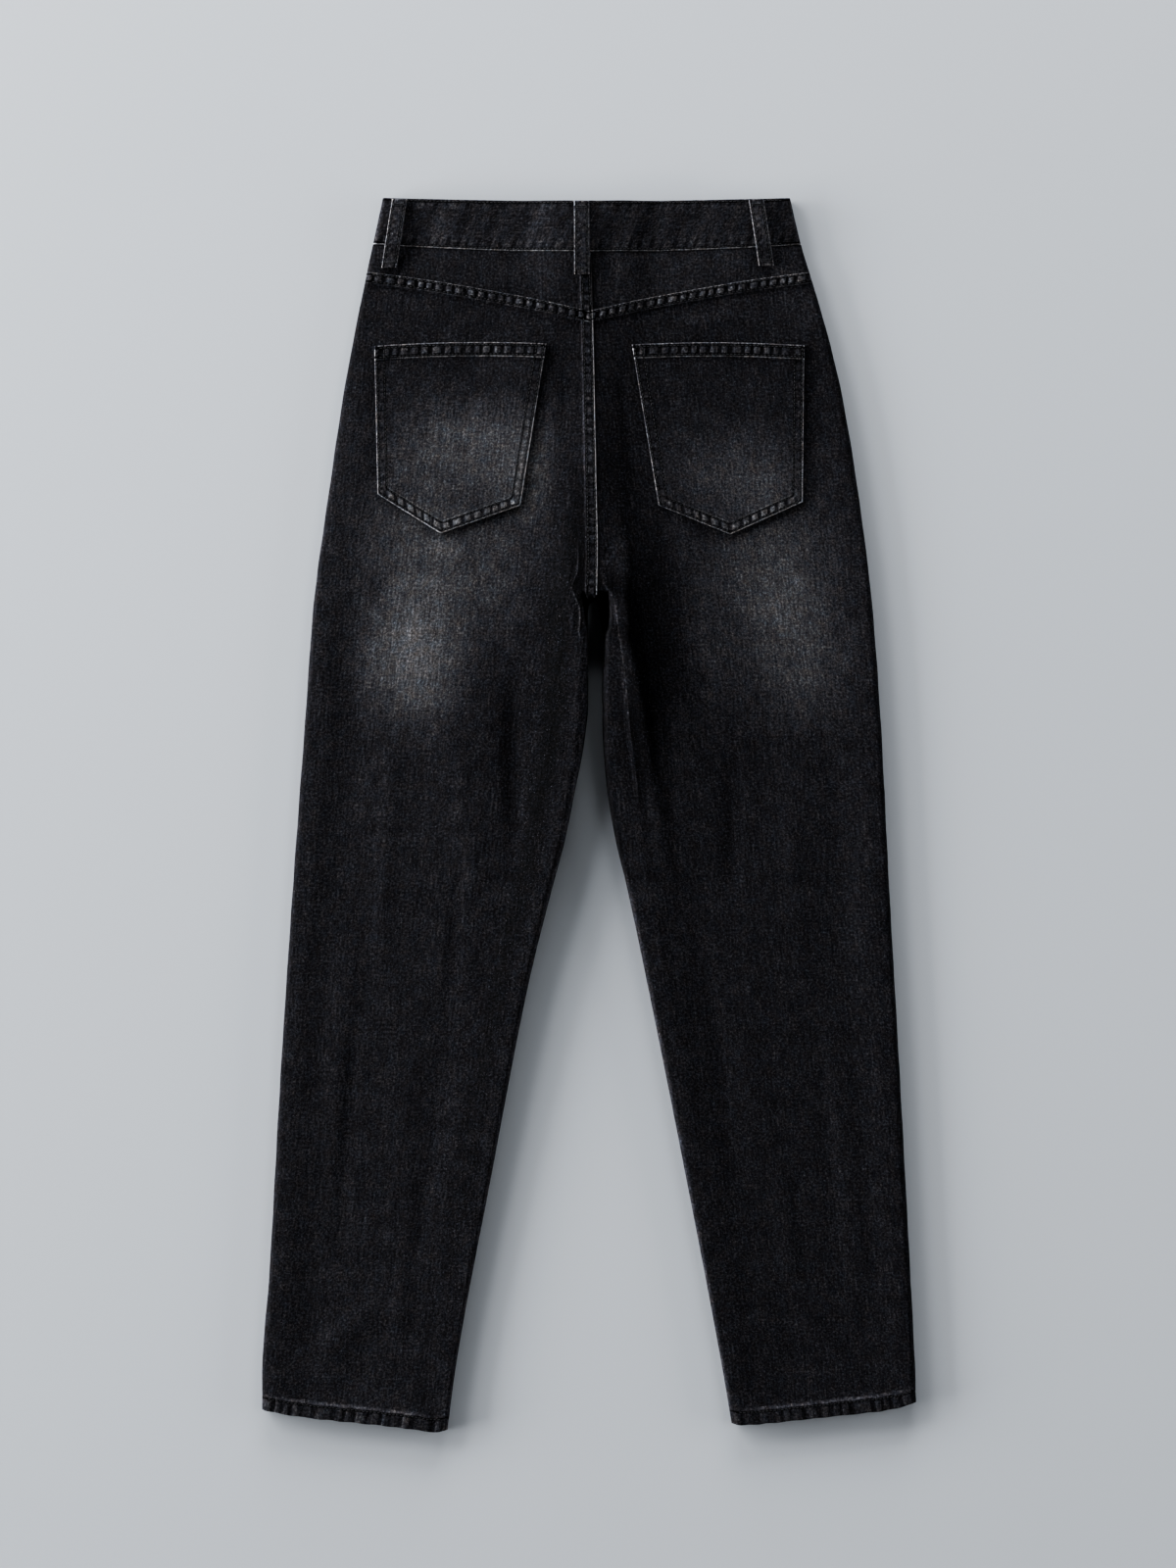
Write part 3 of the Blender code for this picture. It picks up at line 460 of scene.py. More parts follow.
def near_crease(crease, x, down):
    """How far right of a crease each place is, and how far along the crease, from 0 to 1."""
    x, down = np.broadcast_arrays(x, down)
    nearest = np.full(x.shape, 1.0)
    place = np.zeros(x.shape)
    last = len(crease.points) - 1
    for number, (start, end) in enumerate(zip(crease.points, crease.points[1:])):
        run_x, run_down = end[0] - start[0], end[1] - start[1]
        t = ((x - start[0]) * run_x + (down - start[1]) * run_down) / (run_x**2 + run_down**2)
        t = np.clip(t, 0, 1)
        far_x, far_down = x - start[0] - t * run_x, down - start[1] - t * run_down
        far = np.hypot(far_x, far_down)
        closer = far < np.abs(nearest)
        way = np.where(far_x * run_down - far_down * run_x < 0, -1, 1)
        nearest = np.where(closer, way * far, nearest)
        place = np.where(closer, (number + t) / last, place)
    return nearest, place


def creases(x, down):
    total = np.zeros(np.broadcast(x, down).shape)
    for crease in CREASES:
        far, place = near_crease(crease, x, down)
        sharp = np.clip(1 - np.abs(far) / crease.reach, 0, 1) ** 1.6
        total += crease.rise * sharp * fade(np.abs(place - 0.5), 0.30, 0.5)
    return total


def crease_lines(x, down):
    """For the material: the distance right of the nearest crease, its pale top and its painted
    shade.
    """
    nearest = np.full(np.broadcast(x, down).shape, NO_SEAM)
    bright, shade = 0 * nearest, 0 * nearest
    for crease in CREASES:
        if crease.bright > 0:
            far, place = near_crease(crease, x, down)
            here = np.abs(far) < np.abs(nearest)
            there = fade(np.abs(place - 0.5), 0.36, 0.5)
            nearest = np.where(here, far, nearest)
            bright = np.where(here, crease.bright * there, bright)
            shade = np.where(here, crease.shade * there, shade)
    return np.stack([nearest, bright, shade], axis=-1)


def felled_seams(side, x, down):
    below_yoke = down - yoke_line(x)
    raised = fade(below_yoke, FELL_WIDTH, FELL_WIDTH + FELL_SLOPE) * (below_yoke > 0)
    if side == "left":
        strip = fade(centre_seam(down) - x, FELL_WIDTH, FELL_WIDTH + FELL_SLOPE)
        raised = np.maximum(raised, strip * (down < CROTCH))
    return FELL_RISE * raised


def thigh_fold(side, down, past):
    rows = INNER_FOLD[side]
    crest = curve(rows, "crest", down)
    foot = curve(rows, "foot", down)
    crest_rise = curve(rows, "crest_rise", down)
    foot_rise = curve(rows, "foot_rise", down)
    rise = crest_rise + (foot_rise - crest_rise) * (1 - fade(past, crest, foot))
    return rise * fade(past, foot, curve(rows, "flat", down))


def outseam_height(down):
    return curve(LOFT, "outer", down) / 2


def inseam_height(side, down):
    full = curve(LOFT, "level", down) + curve(INNER_FOLD[side], "crest_rise", down)
    return np.where(lies_low(side, down), CROTCH_LOW, full) / 2


def margins(side, x, down):
    """Distances in from a leg's inner edge and outer edge, and up from its hem."""
    inside = np.abs(x - inner_edge(side, down))
    return inside, np.abs(x - outer_edge(side, down)), hem_line(side, x) - down


def past_flap(side, down, inside):
    """How far in from the inner edge each place is, less the low flap beside the crotch."""
    return inside - crotch_width(side, down) * (1 - fade(down, CROTCH - FLAP_REACH, CROTCH))


def back_top(side, x, down):
    """Height of the outer face of the back's cloth, its yokes and legs, without the sewing."""
    inside, outside, above_hem = margins(side, x, down)
    level = curve(LOFT, "level", down)
    level = level + (curve(LOFT, "outer", down) - level) * fade(outside, 0.009, 0.040)
    past = past_flap(side, down, inside)
    height = level + thigh_fold(side, down, past)
    folds = soft_folds(BACK_FOLDS + FINE_FOLDS, x, down) * (1 - fade(outside, 0.006, 0.014))
    height = height + folds * (1 - fade(above_hem, HEM_DEPTH, 0.040))
    height = height + lift_below_band(x, down) + felled_seams(side, x, down) + creases(x, down)
    at_band = fade(down - band_edge_low(x), 0.0, 0.010)
    height = height + (band_top(x) - BAND_STEP - height) * at_band
    height = height + (HEM_TOP - height) * fade(above_hem, HEM_DEPTH, HEM_DEPTH + 0.002)
    low = outseam_height(down) + SEAM_GAP / 2
    height = low + (height - low) * round_edge(outside, EDGE_ROUND)
    low = inseam_height(side, down) + SEAM_GAP / 2
    rolled = low + (CROTCH_LOW - low) * round_edge(inside, CROTCH_ROUND)
    low = np.where(lies_low(side, down), rolled, low)
    edge = 0.7 * curve(INNER_FOLD[side], "edge", down)
    beside = centre_seam(down) - x
    on_strip = (side == "left") * fade(beside, FELL_WIDTH - 0.001, FELL_WIDTH + 0.0008)
    strip_end = CROTCH + STRIP_END * on_strip
    strip_end = strip_end - 0.003 * fade(np.abs(beside - FELL_WIDTH / 2), -0.001, FELL_WIDTH / 2)
    share = np.maximum(round_edge(past, edge), fade(down, strip_end - 0.0030, strip_end + 0.0010))
    return low + (height - low) * share


def nothing_sewn(x, down):
    return seam(x, 1.0, 0.0, NO_SEAM + 0 * (x + down), 0.0)


def yoke_seam(side, x, down):
    """The lapped seam along the top of a back leg."""
    below = down - yoke_line(x)
    band = np.where(below > 0, below, NO_SEAM)
    return seam(x + 0.12 * below, PUCKER_PERIOD, 0.7 if side == "left" else 3.1, band)


def back_centre_seam(side, x, down):
    """The lapped seam down the left side of the centre back."""
    beside = centre_seam(down) - x
    there = (side == "left") & (beside > -0.001) & (down < CROTCH)
    band = np.where(there, beside, NO_SEAM)
    amount = 0.12 + 0.38 * fade(beside, 0.0078, 0.0086)
    return seam(down + 0.10 * beside, PUCKER_PERIOD, 5.2, band, amount)


def hem_seam(side, x, down):
    """A turned hem, whose one row of stitches lies where a lapped seam has its second row."""
    above = hem_line(side, x) - down
    seed = 1.9 if side == "left" else 4.4
    band = np.maximum(0.0042, ROW_TWO - HEM_ROW + above)
    amount = (0.06 + 0.62 * fade(above - HEM_ROW, 0.0004, 0.0012)) * (
        0.68 + 0.32 * uneven(x, 0.019, seed + 0.4))
    at = x + 0.20 * above * SIDES[side] + 0.003 * uneven(x, 0.041, seed)
    return seam(at, 0.0100, seed, band, amount)


def hem_wear(side, x, down):
    """The worn edge of a hem and the ridge above its stitches, broken as uneven dashes."""
    above = hem_line(side, x) - down
    dashes = 0.50 + 0.50 * uneven(x, 0.0125, 0.8 if side == "left" else 2.7)
    ridge = dashes * fade(np.abs(above - HEM_ROW - 0.0027), 0.0004, 0.0022)
    return HEM_EDGE_WEAR * fade(above, 0.0004, 0.0018) + HEM_RIDGE_WEAR * ridge


def lumps(sewn):
    """Height of the puckers of a sewn strip, from -1 to 1."""
    angle, band, amount = sewn[..., 0], sewn[..., 1], sewn[..., 2]
    return np.sin(angle) * amount * fade(band, FELL_WIDTH - 0.0014, FELL_WIDTH + FELL_SLOPE)


def back_height(side, x, down):
    """Height of the outer face of a back leg or yoke, with its sewing."""
    inside, outside, above_hem = margins(side, x, down)
    below = down - yoke_line(x)
    free = (1 - fade(outside, 0.001, 0.006)) * (1 - fade(inside, 0.0006, 0.0022))
    at_yoke, at_centre = lumps(yoke_seam(side, x, down)), lumps(back_centre_seam(side, x, down))
    sewn = np.where(np.abs(at_yoke) > np.abs(at_centre), at_yoke, at_centre)
    height = back_top(side, x, down) + PUCKER * sewn * free
    height = height + PUCKER * lumps(hem_seam(side, x, down)) * free
    height = height - soften(above_hem, HEM_ROUND)
    return height - soften(np.where(below > 0, below, 1.0), 0.0006)


def front_low(side, x, down):
    """Height of the outer face of a front leg, which lies on the floor."""
    inside, outside, above = margins(side, x, down)
    edge = np.minimum(curve(INNER_FOLD[side], "edge", down), 0.010)
    edge = np.where(lies_low(side, down), CROTCH_ROUND, edge)
    inner_rise = (inseam_height(side, down) - SEAM_GAP / 2) * (1 - round_edge(inside, edge))
    outer_rise = (outseam_height(down) - SEAM_GAP / 2) * (1 - round_edge(outside, EDGE_ROUND))
    rise = inner_rise * (down > CROTCH) + outer_rise
    folds = soft_folds(FRONT_FOLDS, x, down) * (1 - fade(np.minimum(inside, outside), 0.01, 0.03))
    rise = rise + folds * (1 - fade(above, HEM_DEPTH, 0.030))
    rise = rise + 0.00015 * (1 + lumps(hem_seam(side, x, down))) * (above < HEM_DEPTH + 0.003)
    return np.maximum(front_under(x, down), rise) + soften(above, HEM_ROUND)


def spot(x, down, middle_x, middle_down, reach_x, reach_down):
    """1 in the middle of a soft spot, and 0 from a quarter past its reach on."""
    return fade(np.hypot((x - middle_x) / reach_x, (down - middle_down) / reach_down), 0.15, 1.25)


def wash(side, x, down):
    """How faded the cloth is, from about -0.5 to 1, with the painted shade of some dark spots."""
    total = curve(WASH, side, down)
    for row in WASH_AND_SHADE_SPOTS:
        total = total + row.amount * spot(x, down, *row[:4])
    return total


def side_shade(side, x, down):
    """How much painted shade darkens the cloth beside a leg's outer edge."""
    return SIDE_SHADE * fade(np.abs(x - outer_edge(side, down)), 0.0005, 0.0055)


def new_object(name, data):
    obj = bpy.data.objects.new(name, data)
    bpy.context.scene.collection.objects.link(obj)
    return obj


def build(name, points, layers, wall, up):
    """A cloth piece on a grid of points of its outer face, with its thickness and its own data.

    layers are the values at the points that the material reads. Those that a piece doesn't give
    are 0, and it has nothing sewn. wall is the thickness. up is 1 where the outer face looks up,
    -1 where it looks down, and None where it looks away from the hollow inside of the jeans.
    """
    rows, columns = points.shape[:2]
    normal = np.cross(np.gradient(points, axis=1), np.gradient(points, axis=0))
    normal /= np.linalg.norm(normal, axis=2, keepdims=True) + 1e-12
    away = points[..., 2] - INSIDE if up is None else up
    turned = np.sum(normal[..., 2] * away) < 0
    if turned:
        normal = -normal
    inner = points - normal * np.broadcast_to(wall, (rows, columns))[..., None]
    index = np.arange(rows * columns).reshape(rows, columns)
    quads = np.stack([index[:-1, :-1], index[:-1, 1:], index[1:, 1:], index[1:, :-1]], axis=-1)
    quads = quads.reshape(-1, 4)
    rim = np.concatenate([index[0, :], index[1:, -1], index[-1, -2::-1], index[-2:0:-1, 0]])
    after = np.roll(rim, -1)
    count = rows * columns
    sides = np.stack([after, rim, rim + count, after + count], axis=-1)
    faces = np.concatenate([quads, quads[:, ::-1] + count, sides])
    if turned:
        faces = faces[:, ::-1]
    mesh = bpy.data.meshes.new(name)
    mesh.vertices.add(2 * count)
    mesh.vertices.foreach_set("co", np.concatenate([points, inner]).ravel())
    mesh.loops.add(faces.size)
    mesh.loops.foreach_set("vertex_index", faces.ravel().astype(np.int32))
    mesh.polygons.add(len(faces))
    mesh.polygons.foreach_set("loop_start", np.arange(0, faces.size, 4, dtype=np.int32))
    mesh.update(calc_edges=True)
    mesh.validate()
    zero = np.zeros((rows, columns))
    none = nothing_sewn(zero, zero)
    layers = {"seam_a": none, "seam_b": none, "crease": 0 * none, "edge": zero, "wear_and_shade": zero,
              **layers, "reverse": zero}
    for key, value in layers.items():
        value = np.asarray(value, dtype=float)
        if value.ndim == 3:
            both = np.concatenate([value.reshape(-1, 3)] * 2)
            kind, part = "FLOAT_VECTOR", "vector"
        else:
            value = np.broadcast_to(value, (rows, columns)).ravel()
            both = np.concatenate([value, np.ones_like(value) if key == "reverse" else value])
            kind, part = "FLOAT", "value"
        mesh.attributes.new(key, kind, "POINT").data.foreach_set(part, both.ravel())
    mesh.shade_smooth()
    mesh.set_sharp_from_angle(angle=SHARP_EDGE)
    mesh.materials.append(MATERIALS["denim"])
    return new_object(name, mesh)


def grid(x, down, height):
    return np.stack(np.broadcast_arrays(x, LENGTH / 2 - down, height), axis=-1)


def cloth_axes(side, x, down):
    """Places on the cut panel, across and along its warp, which follows the leg."""
    x, down = np.broadcast_arrays(x, down)
    lean = 0.0 if side is None else SIDES[side] * WARP_LEAN
    return np.stack([x - lean * down, down, 0 * x], axis=-1)


def column_x(edge_from, edge_to, plan, number):
    inner, outer, middle = plan
    width = np.abs(edge_to - edge_from)
    if number < len(inner):
        distance = inner[number] + 0 * width
    elif number >= len(inner) + middle:
        distance = width - outer[len(inner) + middle - number - 1]
    else:
        share = (number - len(inner) + 1) / (middle + 1)
        distance = inner[-1] + share * (width - outer[-1] - inner[-1])
    return edge_from + np.sign(edge_to - edge_from) * distance


def panel_points(plan, side, row_downs, inner=inner_edge, outer=outer_edge):
    """X and down of a panel's points. row_downs gives a column's rows from its X."""
    near, far, middle = plan
    columns = []
    for number in range(len(near) + middle + len(far)):
        def across(down):
            return column_x(inner(side, down), outer(side, down), plan, number)

        x = across(np.full(1, MOUTH_END))
        for _ in range(7):
            down = row_downs(x)
            x = across(down)
        columns.append((x, down))
    return np.stack([c[0] for c in columns], axis=1), np.stack([c[1] for c in columns], axis=1)


FINE_EDGE = [0.0, 0.00002, 0.0003, 0.0007, 0.0012]
BACK_PLAN = (
    FINE_EDGE + list(np.arange(0.0018, 0.0086, 0.0008)) + [0.0090, 0.0095, 0.0101, 0.0108]
    + list(np.arange(0.0120, 0.0375, 0.0013)),
    [0.0, 0.00002, 0.0003, 0.0008, 0.0014, 0.0021, 0.0029, 0.0038, 0.0048, 0.0060, 0.0075],
    118,
)
FRONT_PLAN = ([0.0, 0.00002, 0.0004, 0.001, 0.0018, 0.003, 0.0045, 0.007, 0.010],
              [0.0, 0.00002, 0.0004, 0.001, 0.0018, 0.003, 0.0045, 0.0065], 60)
SEAM_ROWS = [0.0, 0.0002, 0.0005, 0.0009, 0.0015, 0.0024, 0.0035, 0.0048, 0.0062, 0.0075, 0.0084,
             0.0090, 0.0096, 0.0104]
FRONT_ROWS = [0.0, 0.0003, 0.0008, 0.0015, 0.0035, 0.006]
CROTCH_ROWS = list(np.arange(0.3165, 0.3300, 0.0011)) + list(np.arange(0.3310, 0.4560, 0.0026))
LEG_ROWS = list(np.arange(0.4600, 0.9700, 0.0092))
HEM_ROWS = [0.0150, 0.0134, 0.0124, HEM_DEPTH + 0.0001, HEM_DEPTH, 0.0108, 0.0101, 0.0094, 0.0082,
            0.0068, 0.0054, 0.0040, 0.0028, 0.0018, 0.0011, 0.0006, 0.0002, 0.0]


def leg_downs(side, x, top, first, step):
    """Downs of a leg's rows in one column, from its top edge to the hem, level at the crotch."""
    start = top + first[-1]
    count = int(round((CROTCH_ROWS[0] - YOKE_SEAM[0].down - first[-1]) / step))
    upper = start + np.arange(1, count) / count * (CROTCH_ROWS[0] - start)
    hem = hem_line(side, x[-1]) - np.array(HEM_ROWS)
    return np.concatenate([top + np.array(first), upper, CROTCH_ROWS, LEG_ROWS, hem])


def hem_wall(side, x, down):
    return CLOTH_WALL + (HEM_WALL - DENIM) * (hem_line(side, x) - down < HEM_DEPTH + 0.00005)


def back_leg(side):
    def downs(x):
        return leg_downs(side, x, yoke_line(x[0]) + SEAM_GAP / 2, SEAM_ROWS, 0.0019)

    x, down = panel_points(BACK_PLAN, side, downs)
    inside = np.abs(x - inner_edge(side, down))
    # The hem's wear, less painted shade beside the outer edge
    wear_and_shade = hem_wear(side, x, down) - side_shade(side, x, down)
    at_centre = (side == "left") * fade(np.abs(x - centre_seam(down)), 0.0010, 0.0030)
    low = (down > CROTCH + 0.001) * (1 - fade(crotch_width(side, down) - inside, -0.001, 0.0005))
    past = past_flap(side, down, inside)
    # Painted shade on the left fold's slopes that face the light, painted light on the right's
    # facing away
    slope = (thigh_fold(side, down, past - 0.001) - thigh_fold(side, down, past + 0.001)) / 0.002
    tone = wash(side, x, down) - SLOPE_SHADE[side] * np.clip(slope, 0, 0.4)
    # Painted shade on the low cloth in the slit beside the crotch
    tone = tone - SLIT_SHADE * low * fade(down, 0.345, 0.400)
    # Painted shade on the right thigh beside the slit
    if side == "right":
        beside_slit = fade(past, 0.0015, 0.0060) * fade(np.abs(down - 0.44), 0.09, 0.14)
        tone = tone - RIGHT_THIGH_SHADE * beside_slit
    sewn = choose(yoke_seam(side, x, down), hem_seam(side, x, down), down < LEG_MIDDLE)
    layers = {"cloth": cloth_axes(side, x, down), "wash": tone, "wear_and_shade": wear_and_shade, "seam_a": sewn,
              "seam_b": back_centre_seam(side, x, down), "edge": 0.70 + 0.9 * at_centre,
              "crease": crease_lines(x, down)}
    points = grid(x, down, back_height(side, x, down))
    return build("back_leg_cloth_" + side, points, layers, hem_wall(side, x, down), 1)


def front_leg(side):
    def downs(x):
        return leg_downs(side, x, below_band(x[0]), FRONT_ROWS, 0.0045)

    x, down = panel_points(FRONT_PLAN, side, downs, outer=pocket_mouth)
    mouth = np.where(down < MOUTH_END, np.abs(x - pocket_mouth(side, down)), NO_SEAM)
    faded = FRONT_FADE * spot(x, down, SIDES[side] * 0.135, 0.330, 0.075, 0.170)
    sewn = choose(seam(down, 0.0066, 2.2, mouth), hem_seam(side, x, down), down < LEG_MIDDLE)
    layers = {"cloth": cloth_axes(side, x, down), "wash": HIDDEN_WASH + faded,
              "wear_and_shade": hem_wear(side, x, down), "edge": 0.6, "seam_a": sewn}
    points = grid(x, down, front_low(side, x, down))
    return build("front_leg_cloth_" + side, points, layers, hem_wall(side, x, down), -1)


def yoke(side):
    rows = np.concatenate([[0, 0.004, 0.012, 0.022], np.linspace(0.04, 0.96, 26),
                           [0.978, 0.988, 0.996, 1]])

    def downs(x):
        top = below_band(x[0])
        return top + rows * (yoke_line(x[-1]) - SEAM_GAP / 2 - top)

    x, down = panel_points(BACK_PLAN, side, downs)
    # The cloth beside the outer edge is darkened with painted shade
    layers = {"cloth": cloth_axes(None, x, down), "wash": wash(side, x, down),
              "wear_and_shade": -side_shade(side, x, down), "seam_b": back_centre_seam(side, x, down),
              "edge": 0.62}
    points = grid(x, down, back_height(side, x, down))
    return build("back_yoke_cloth_" + side, points, layers, CLOTH_WALL, 1)


def facing_inner(side, down):
    return pocket_mouth(side, down) - SIDES[side] * FACING_LAP


def facing_outer(side, down):
    inset = FACING_INSET + 0.004 * fade(MOUTH_END - down, 0.0, 0.010)
    return outer_edge(side, down) - SIDES[side] * inset


def front_facing(side):
    def downs(x):
        top = below_band(x[0])
        return top + np.linspace(0, 1, 44) * (MOUTH_END - FACING_SHORT - top)

    plan = ([0.0], [0.0, 0.002, 0.004], 26)
    x, down = panel_points(plan, side, downs, facing_inner, facing_outer)
    layers = {"cloth": cloth_axes(None, x, down), "wash": HIDDEN_WASH}
    points = grid(x, down, front_under(x, down) + DENIM + SEAM_GAP)
    return build("front_facing_cloth_" + side, points, layers, CLOTH_WALL, -1)


def pocket_top(side, across):
    """Down of a pocket's arched top edge, at a share of its width from its outer side."""
    top_outer, top_inner = POCKETS[side][:2]
    straight = np.interp(across, [0, 1], [top_outer.down, top_inner.down])
    return straight - POCKET_TOP_ARCH * 4 * across * (1 - across)


def pocket_place(side, across, share):
    """X and down at a share of the pocket's width, from its outer side, and of its depth."""
    top_outer, top_inner, low_inner, tip, low_outer = POCKETS[side]
    bottom = (low_outer, tip, low_inner)
    top_x = np.interp(across, [0, 1], [top_outer.x, top_inner.x])
    bottom_x = np.interp(across, [0, 0.5, 1], [corner.x for corner in bottom])
    top_down = pocket_top(side, across)
    bottom_down = np.interp(across, [0, 0.5, 1], [corner.down for corner in bottom])
    return top_x + (bottom_x - top_x) * share, top_down + (bottom_down - top_down) * share


def pocket_edges(side, x, down):
    """Distances in from the pocket's outer side, inner side, two bottom edges and top."""
    top_outer, top_inner, low_inner, tip, low_outer = POCKETS[side]

    def inside(start, end):
        run_x, run_down = end.x - start.x, end.down - start.down
        far = (x - start.x) * run_down - (down - start.down) * run_x
        return SIDES[side] * far / math.hypot(run_x, run_down)

    across = np.clip((x - top_outer.x) / (top_inner.x - top_outer.x), 0, 1)
    return (inside(low_outer, top_outer), inside(top_inner, low_inner), inside(low_inner, tip),
            inside(tip, low_outer), down - pocket_top(side, across))


def pocket_border(side, x, down):
    """The distance in from the nearest of a pocket's sides and bottom edges."""
    return np.minimum.reduce(pocket_edges(side, x, down)[:4])


def pocket_seams(side, x, down):
    """The sewing round a pocket's sides and bottom, and along its top hem."""
    outer, inner, low_in, low_out, top = pocket_edges(side, x, down)
    upright, low = np.minimum(outer, inner), np.minimum(low_in, low_out)
    seed = 0.9 if side == "left" else 2.6
    sides = seam(down + 0.1 * upright, 0.0080, seed, upright, 0.28)
    bottom = seam(x + 0.1 * low, 0.0078, seed + 1, low, 0.82)
    hem = seam(x + 0.1 * top, 0.0084, seed + 2, top * ROW_TWO / POCKET_ROW, 0.92)
    return choose(sides, bottom, upright < low), hem


def pocket_height(side, x, down):
    top = pocket_edges(side, x, down)[4]
    border = pocket_border(side, x, down)
    round_it, hem = pocket_seams(side, x, down)
    base = back_top(side, x, down) + PATCH_GAP + DENIM
    base = base + POCKET_HEM_EXTRA * fade(top, POCKET_HEM - 0.0004, POCKET_HEM + 0.0006)
    sewn = np.where(top < POCKET_HEM, lumps(hem), lumps(round_it))
    return base - soften(np.minimum(border, top), 0.0008) + POCKET_PUCKER * sewn


def back_pocket(side):
    width, depth = 0.135, 0.140
    edge = np.array([0, 0.0002, 0.0005, 0.0009, 0.0015, 0.0024, 0.0034, 0.0046, 0.0058, 0.0070,
                     0.0082])
    hem = np.array([0.0098, 0.0105, 0.0109, 0.0113, 0.0118])
    middle = np.linspace(edge[-1] / width, 1 - edge[-1] / width, 86)[1:-1]
    across = np.concatenate([edge / width, middle, 1 - edge[::-1] / width])
    middle = np.linspace(hem[-1] / depth, 1 - edge[-1] / depth, 92)[1:-1]
    along = np.concatenate([edge / depth, hem / depth, middle, 1 - edge[::-1] / depth])
    x, down = pocket_place(side, across[None, :], along[:, None])
    round_it, hem_row = pocket_seams(side, x, down)
    axes = cloth_axes(side, x, down) + np.array([POCKET_CUT, 0.0, 0.0])
    outer, inner, low_in, low_out, top = pocket_edges(side, x, down)
    left, low_left = (outer, low_out) if side == "left" else (inner, low_in)
    # The worn edges are paler on the sides that face away from the light, as a painted highlight
    lit = np.minimum(np.minimum(left, low_left), top) < pocket_border(side, x, down) + 0.0002
    hem_edge = POCKET_HEM_WEAR * fade(np.abs(top - 0.0112), 0.0001, 0.0009)
    layers = {"cloth": axes, "wash": wash(side, x, down), "seam_a": round_it, "seam_b": hem_row,
              "edge": np.where(lit, 0.76, 1.05), "wear_and_shade": hem_edge}
    points = grid(x, down, pocket_height(side, x, down))
    wall = CLOTH_WALL + POCKET_HEM_EXTRA * (top < POCKET_HEM)
    return build("back_pocket_cloth_" + side, points, layers, wall, 1)


def band_seams(along, share, depth):
    """The sewing along the waistband's lower and upper edges."""
    low, high = (1 - share) * depth, share * depth
    lower = seam(along + 0.1 * low, 0.0088, 0.6, np.minimum(low, 0.0052),
                 0.46 * fade(low, 0.004, 0.015))
    upper = seam(along - 0.1 * high, 0.0093, 3.6, np.minimum(high, 0.0052),
                 0.34 * fade(high, 0.004, 0.013))
    return lower, upper


def band_detail(along, share, depth):
    """How far the waistband's face is drawn in by its sewing and its rounded edges."""
    lower, upper = band_seams(along, share, depth)
    near = np.minimum(share, 1 - share) * depth
    drawn = BAND_PUCKER_LOW * (1 - 2 * lumps(lower)) + BAND_PUCKER_HIGH * (1 - 2 * lumps(upper))
    drawn = drawn * fade(near, 0.003, 0.008)
    ripple = 0.00020 * (1 + uneven(along, 0.034, 1.4)) + 0.00012 * (1 + uneven(along, 0.0135, 2.4))
    return drawn + ripple * np.sin(np.pi * share) ** 0.7 + soften(near, 0.0010)


def waistband():
    """One strip from its outer end at the closure, round by the left side, back and right."""
    turn = np.radians(np.linspace(0, 180, 19))
    arc_out = BAND_ROUND * np.sin(turn)
    arc_up = (2 * BAND_WALL + BAND_HOLLOW) / 2 * (1 - np.cos(turn))
    shares = np.concatenate([[0, 0.005, 0.014, 0.028], np.linspace(0.05, 0.95, 21),
                             [0.972, 0.986, 0.995, 1]])
    rows = []
    for share in shares:
        left = outer_edge("left", BAND_SIDE_DEPTH * share) + BAND_ROUND
        right = outer_edge("right", BAND_SIDE_DEPTH * share) - BAND_ROUND
        outer_end = np.linspace(OVERLAP_END, left, 121)[:-1]
        back = np.linspace(left, right, 222)[1:-1]
        inner_end = np.linspace(right, UNDERLAP_END, 121)[1:]
        x = np.concatenate([outer_end, left - arc_out, back, right + arc_out, inner_end])
        top, low = band_edge_top(x), band_edge_low(x)
        down = top + share * (low - top)
        outer_height = front_under(outer_end, down[:len(outer_end)])
        inner_height = front_under(inner_end, down[-len(inner_end):]) + band_overlap(inner_end)
        height = np.concatenate([outer_height, arc_up, band_top(back), arc_up[::-1], inner_height])
        along = np.cumsum(np.hypot(np.diff(x, prepend=x[0]), np.diff(height, prepend=height[0])))
        inwards = np.concatenate([np.ones(len(outer_end)), np.cos(turn), -np.ones(len(back)),
                                  np.cos(turn[::-1]), np.ones(len(inner_end))])
        height = height + inwards * band_detail(along, share, low - top)
        rows.append((x, down, height, along, np.full(len(x), share), low - top))
    x, down, height, along, share, depth = (np.stack(values) for values in zip(*rows))
    lower, upper = band_seams(along, share, depth)
    tone = -0.02 + 0.08 * uneven(along, 0.11, 0.3) + 0.12 * uneven(along, 0.026, 2.2)
    axes = np.stack([share * depth + BAND_CUT, along, 0 * x], axis=-1)
    # The lower edge, which faces away from the light, gets the paler worn edge: wear and painted
    # highlight
    layers = {"cloth": axes, "wash": tone, "seam_a": lower, "seam_b": upper,
              "edge": 0.30 + 1.0 * share}
    return build("waistband_cloth", grid(x, down, height), layers, BAND_WALL - 0.0001, None)


def under_back_loop(side, x, down):
    on_yoke = back_top(side, x, np.maximum(down, band_edge_low(x)))
    return on_yoke + (band_top(x) - on_yoke) * fade(down - band_edge_low(x), 0.001, 0.012)


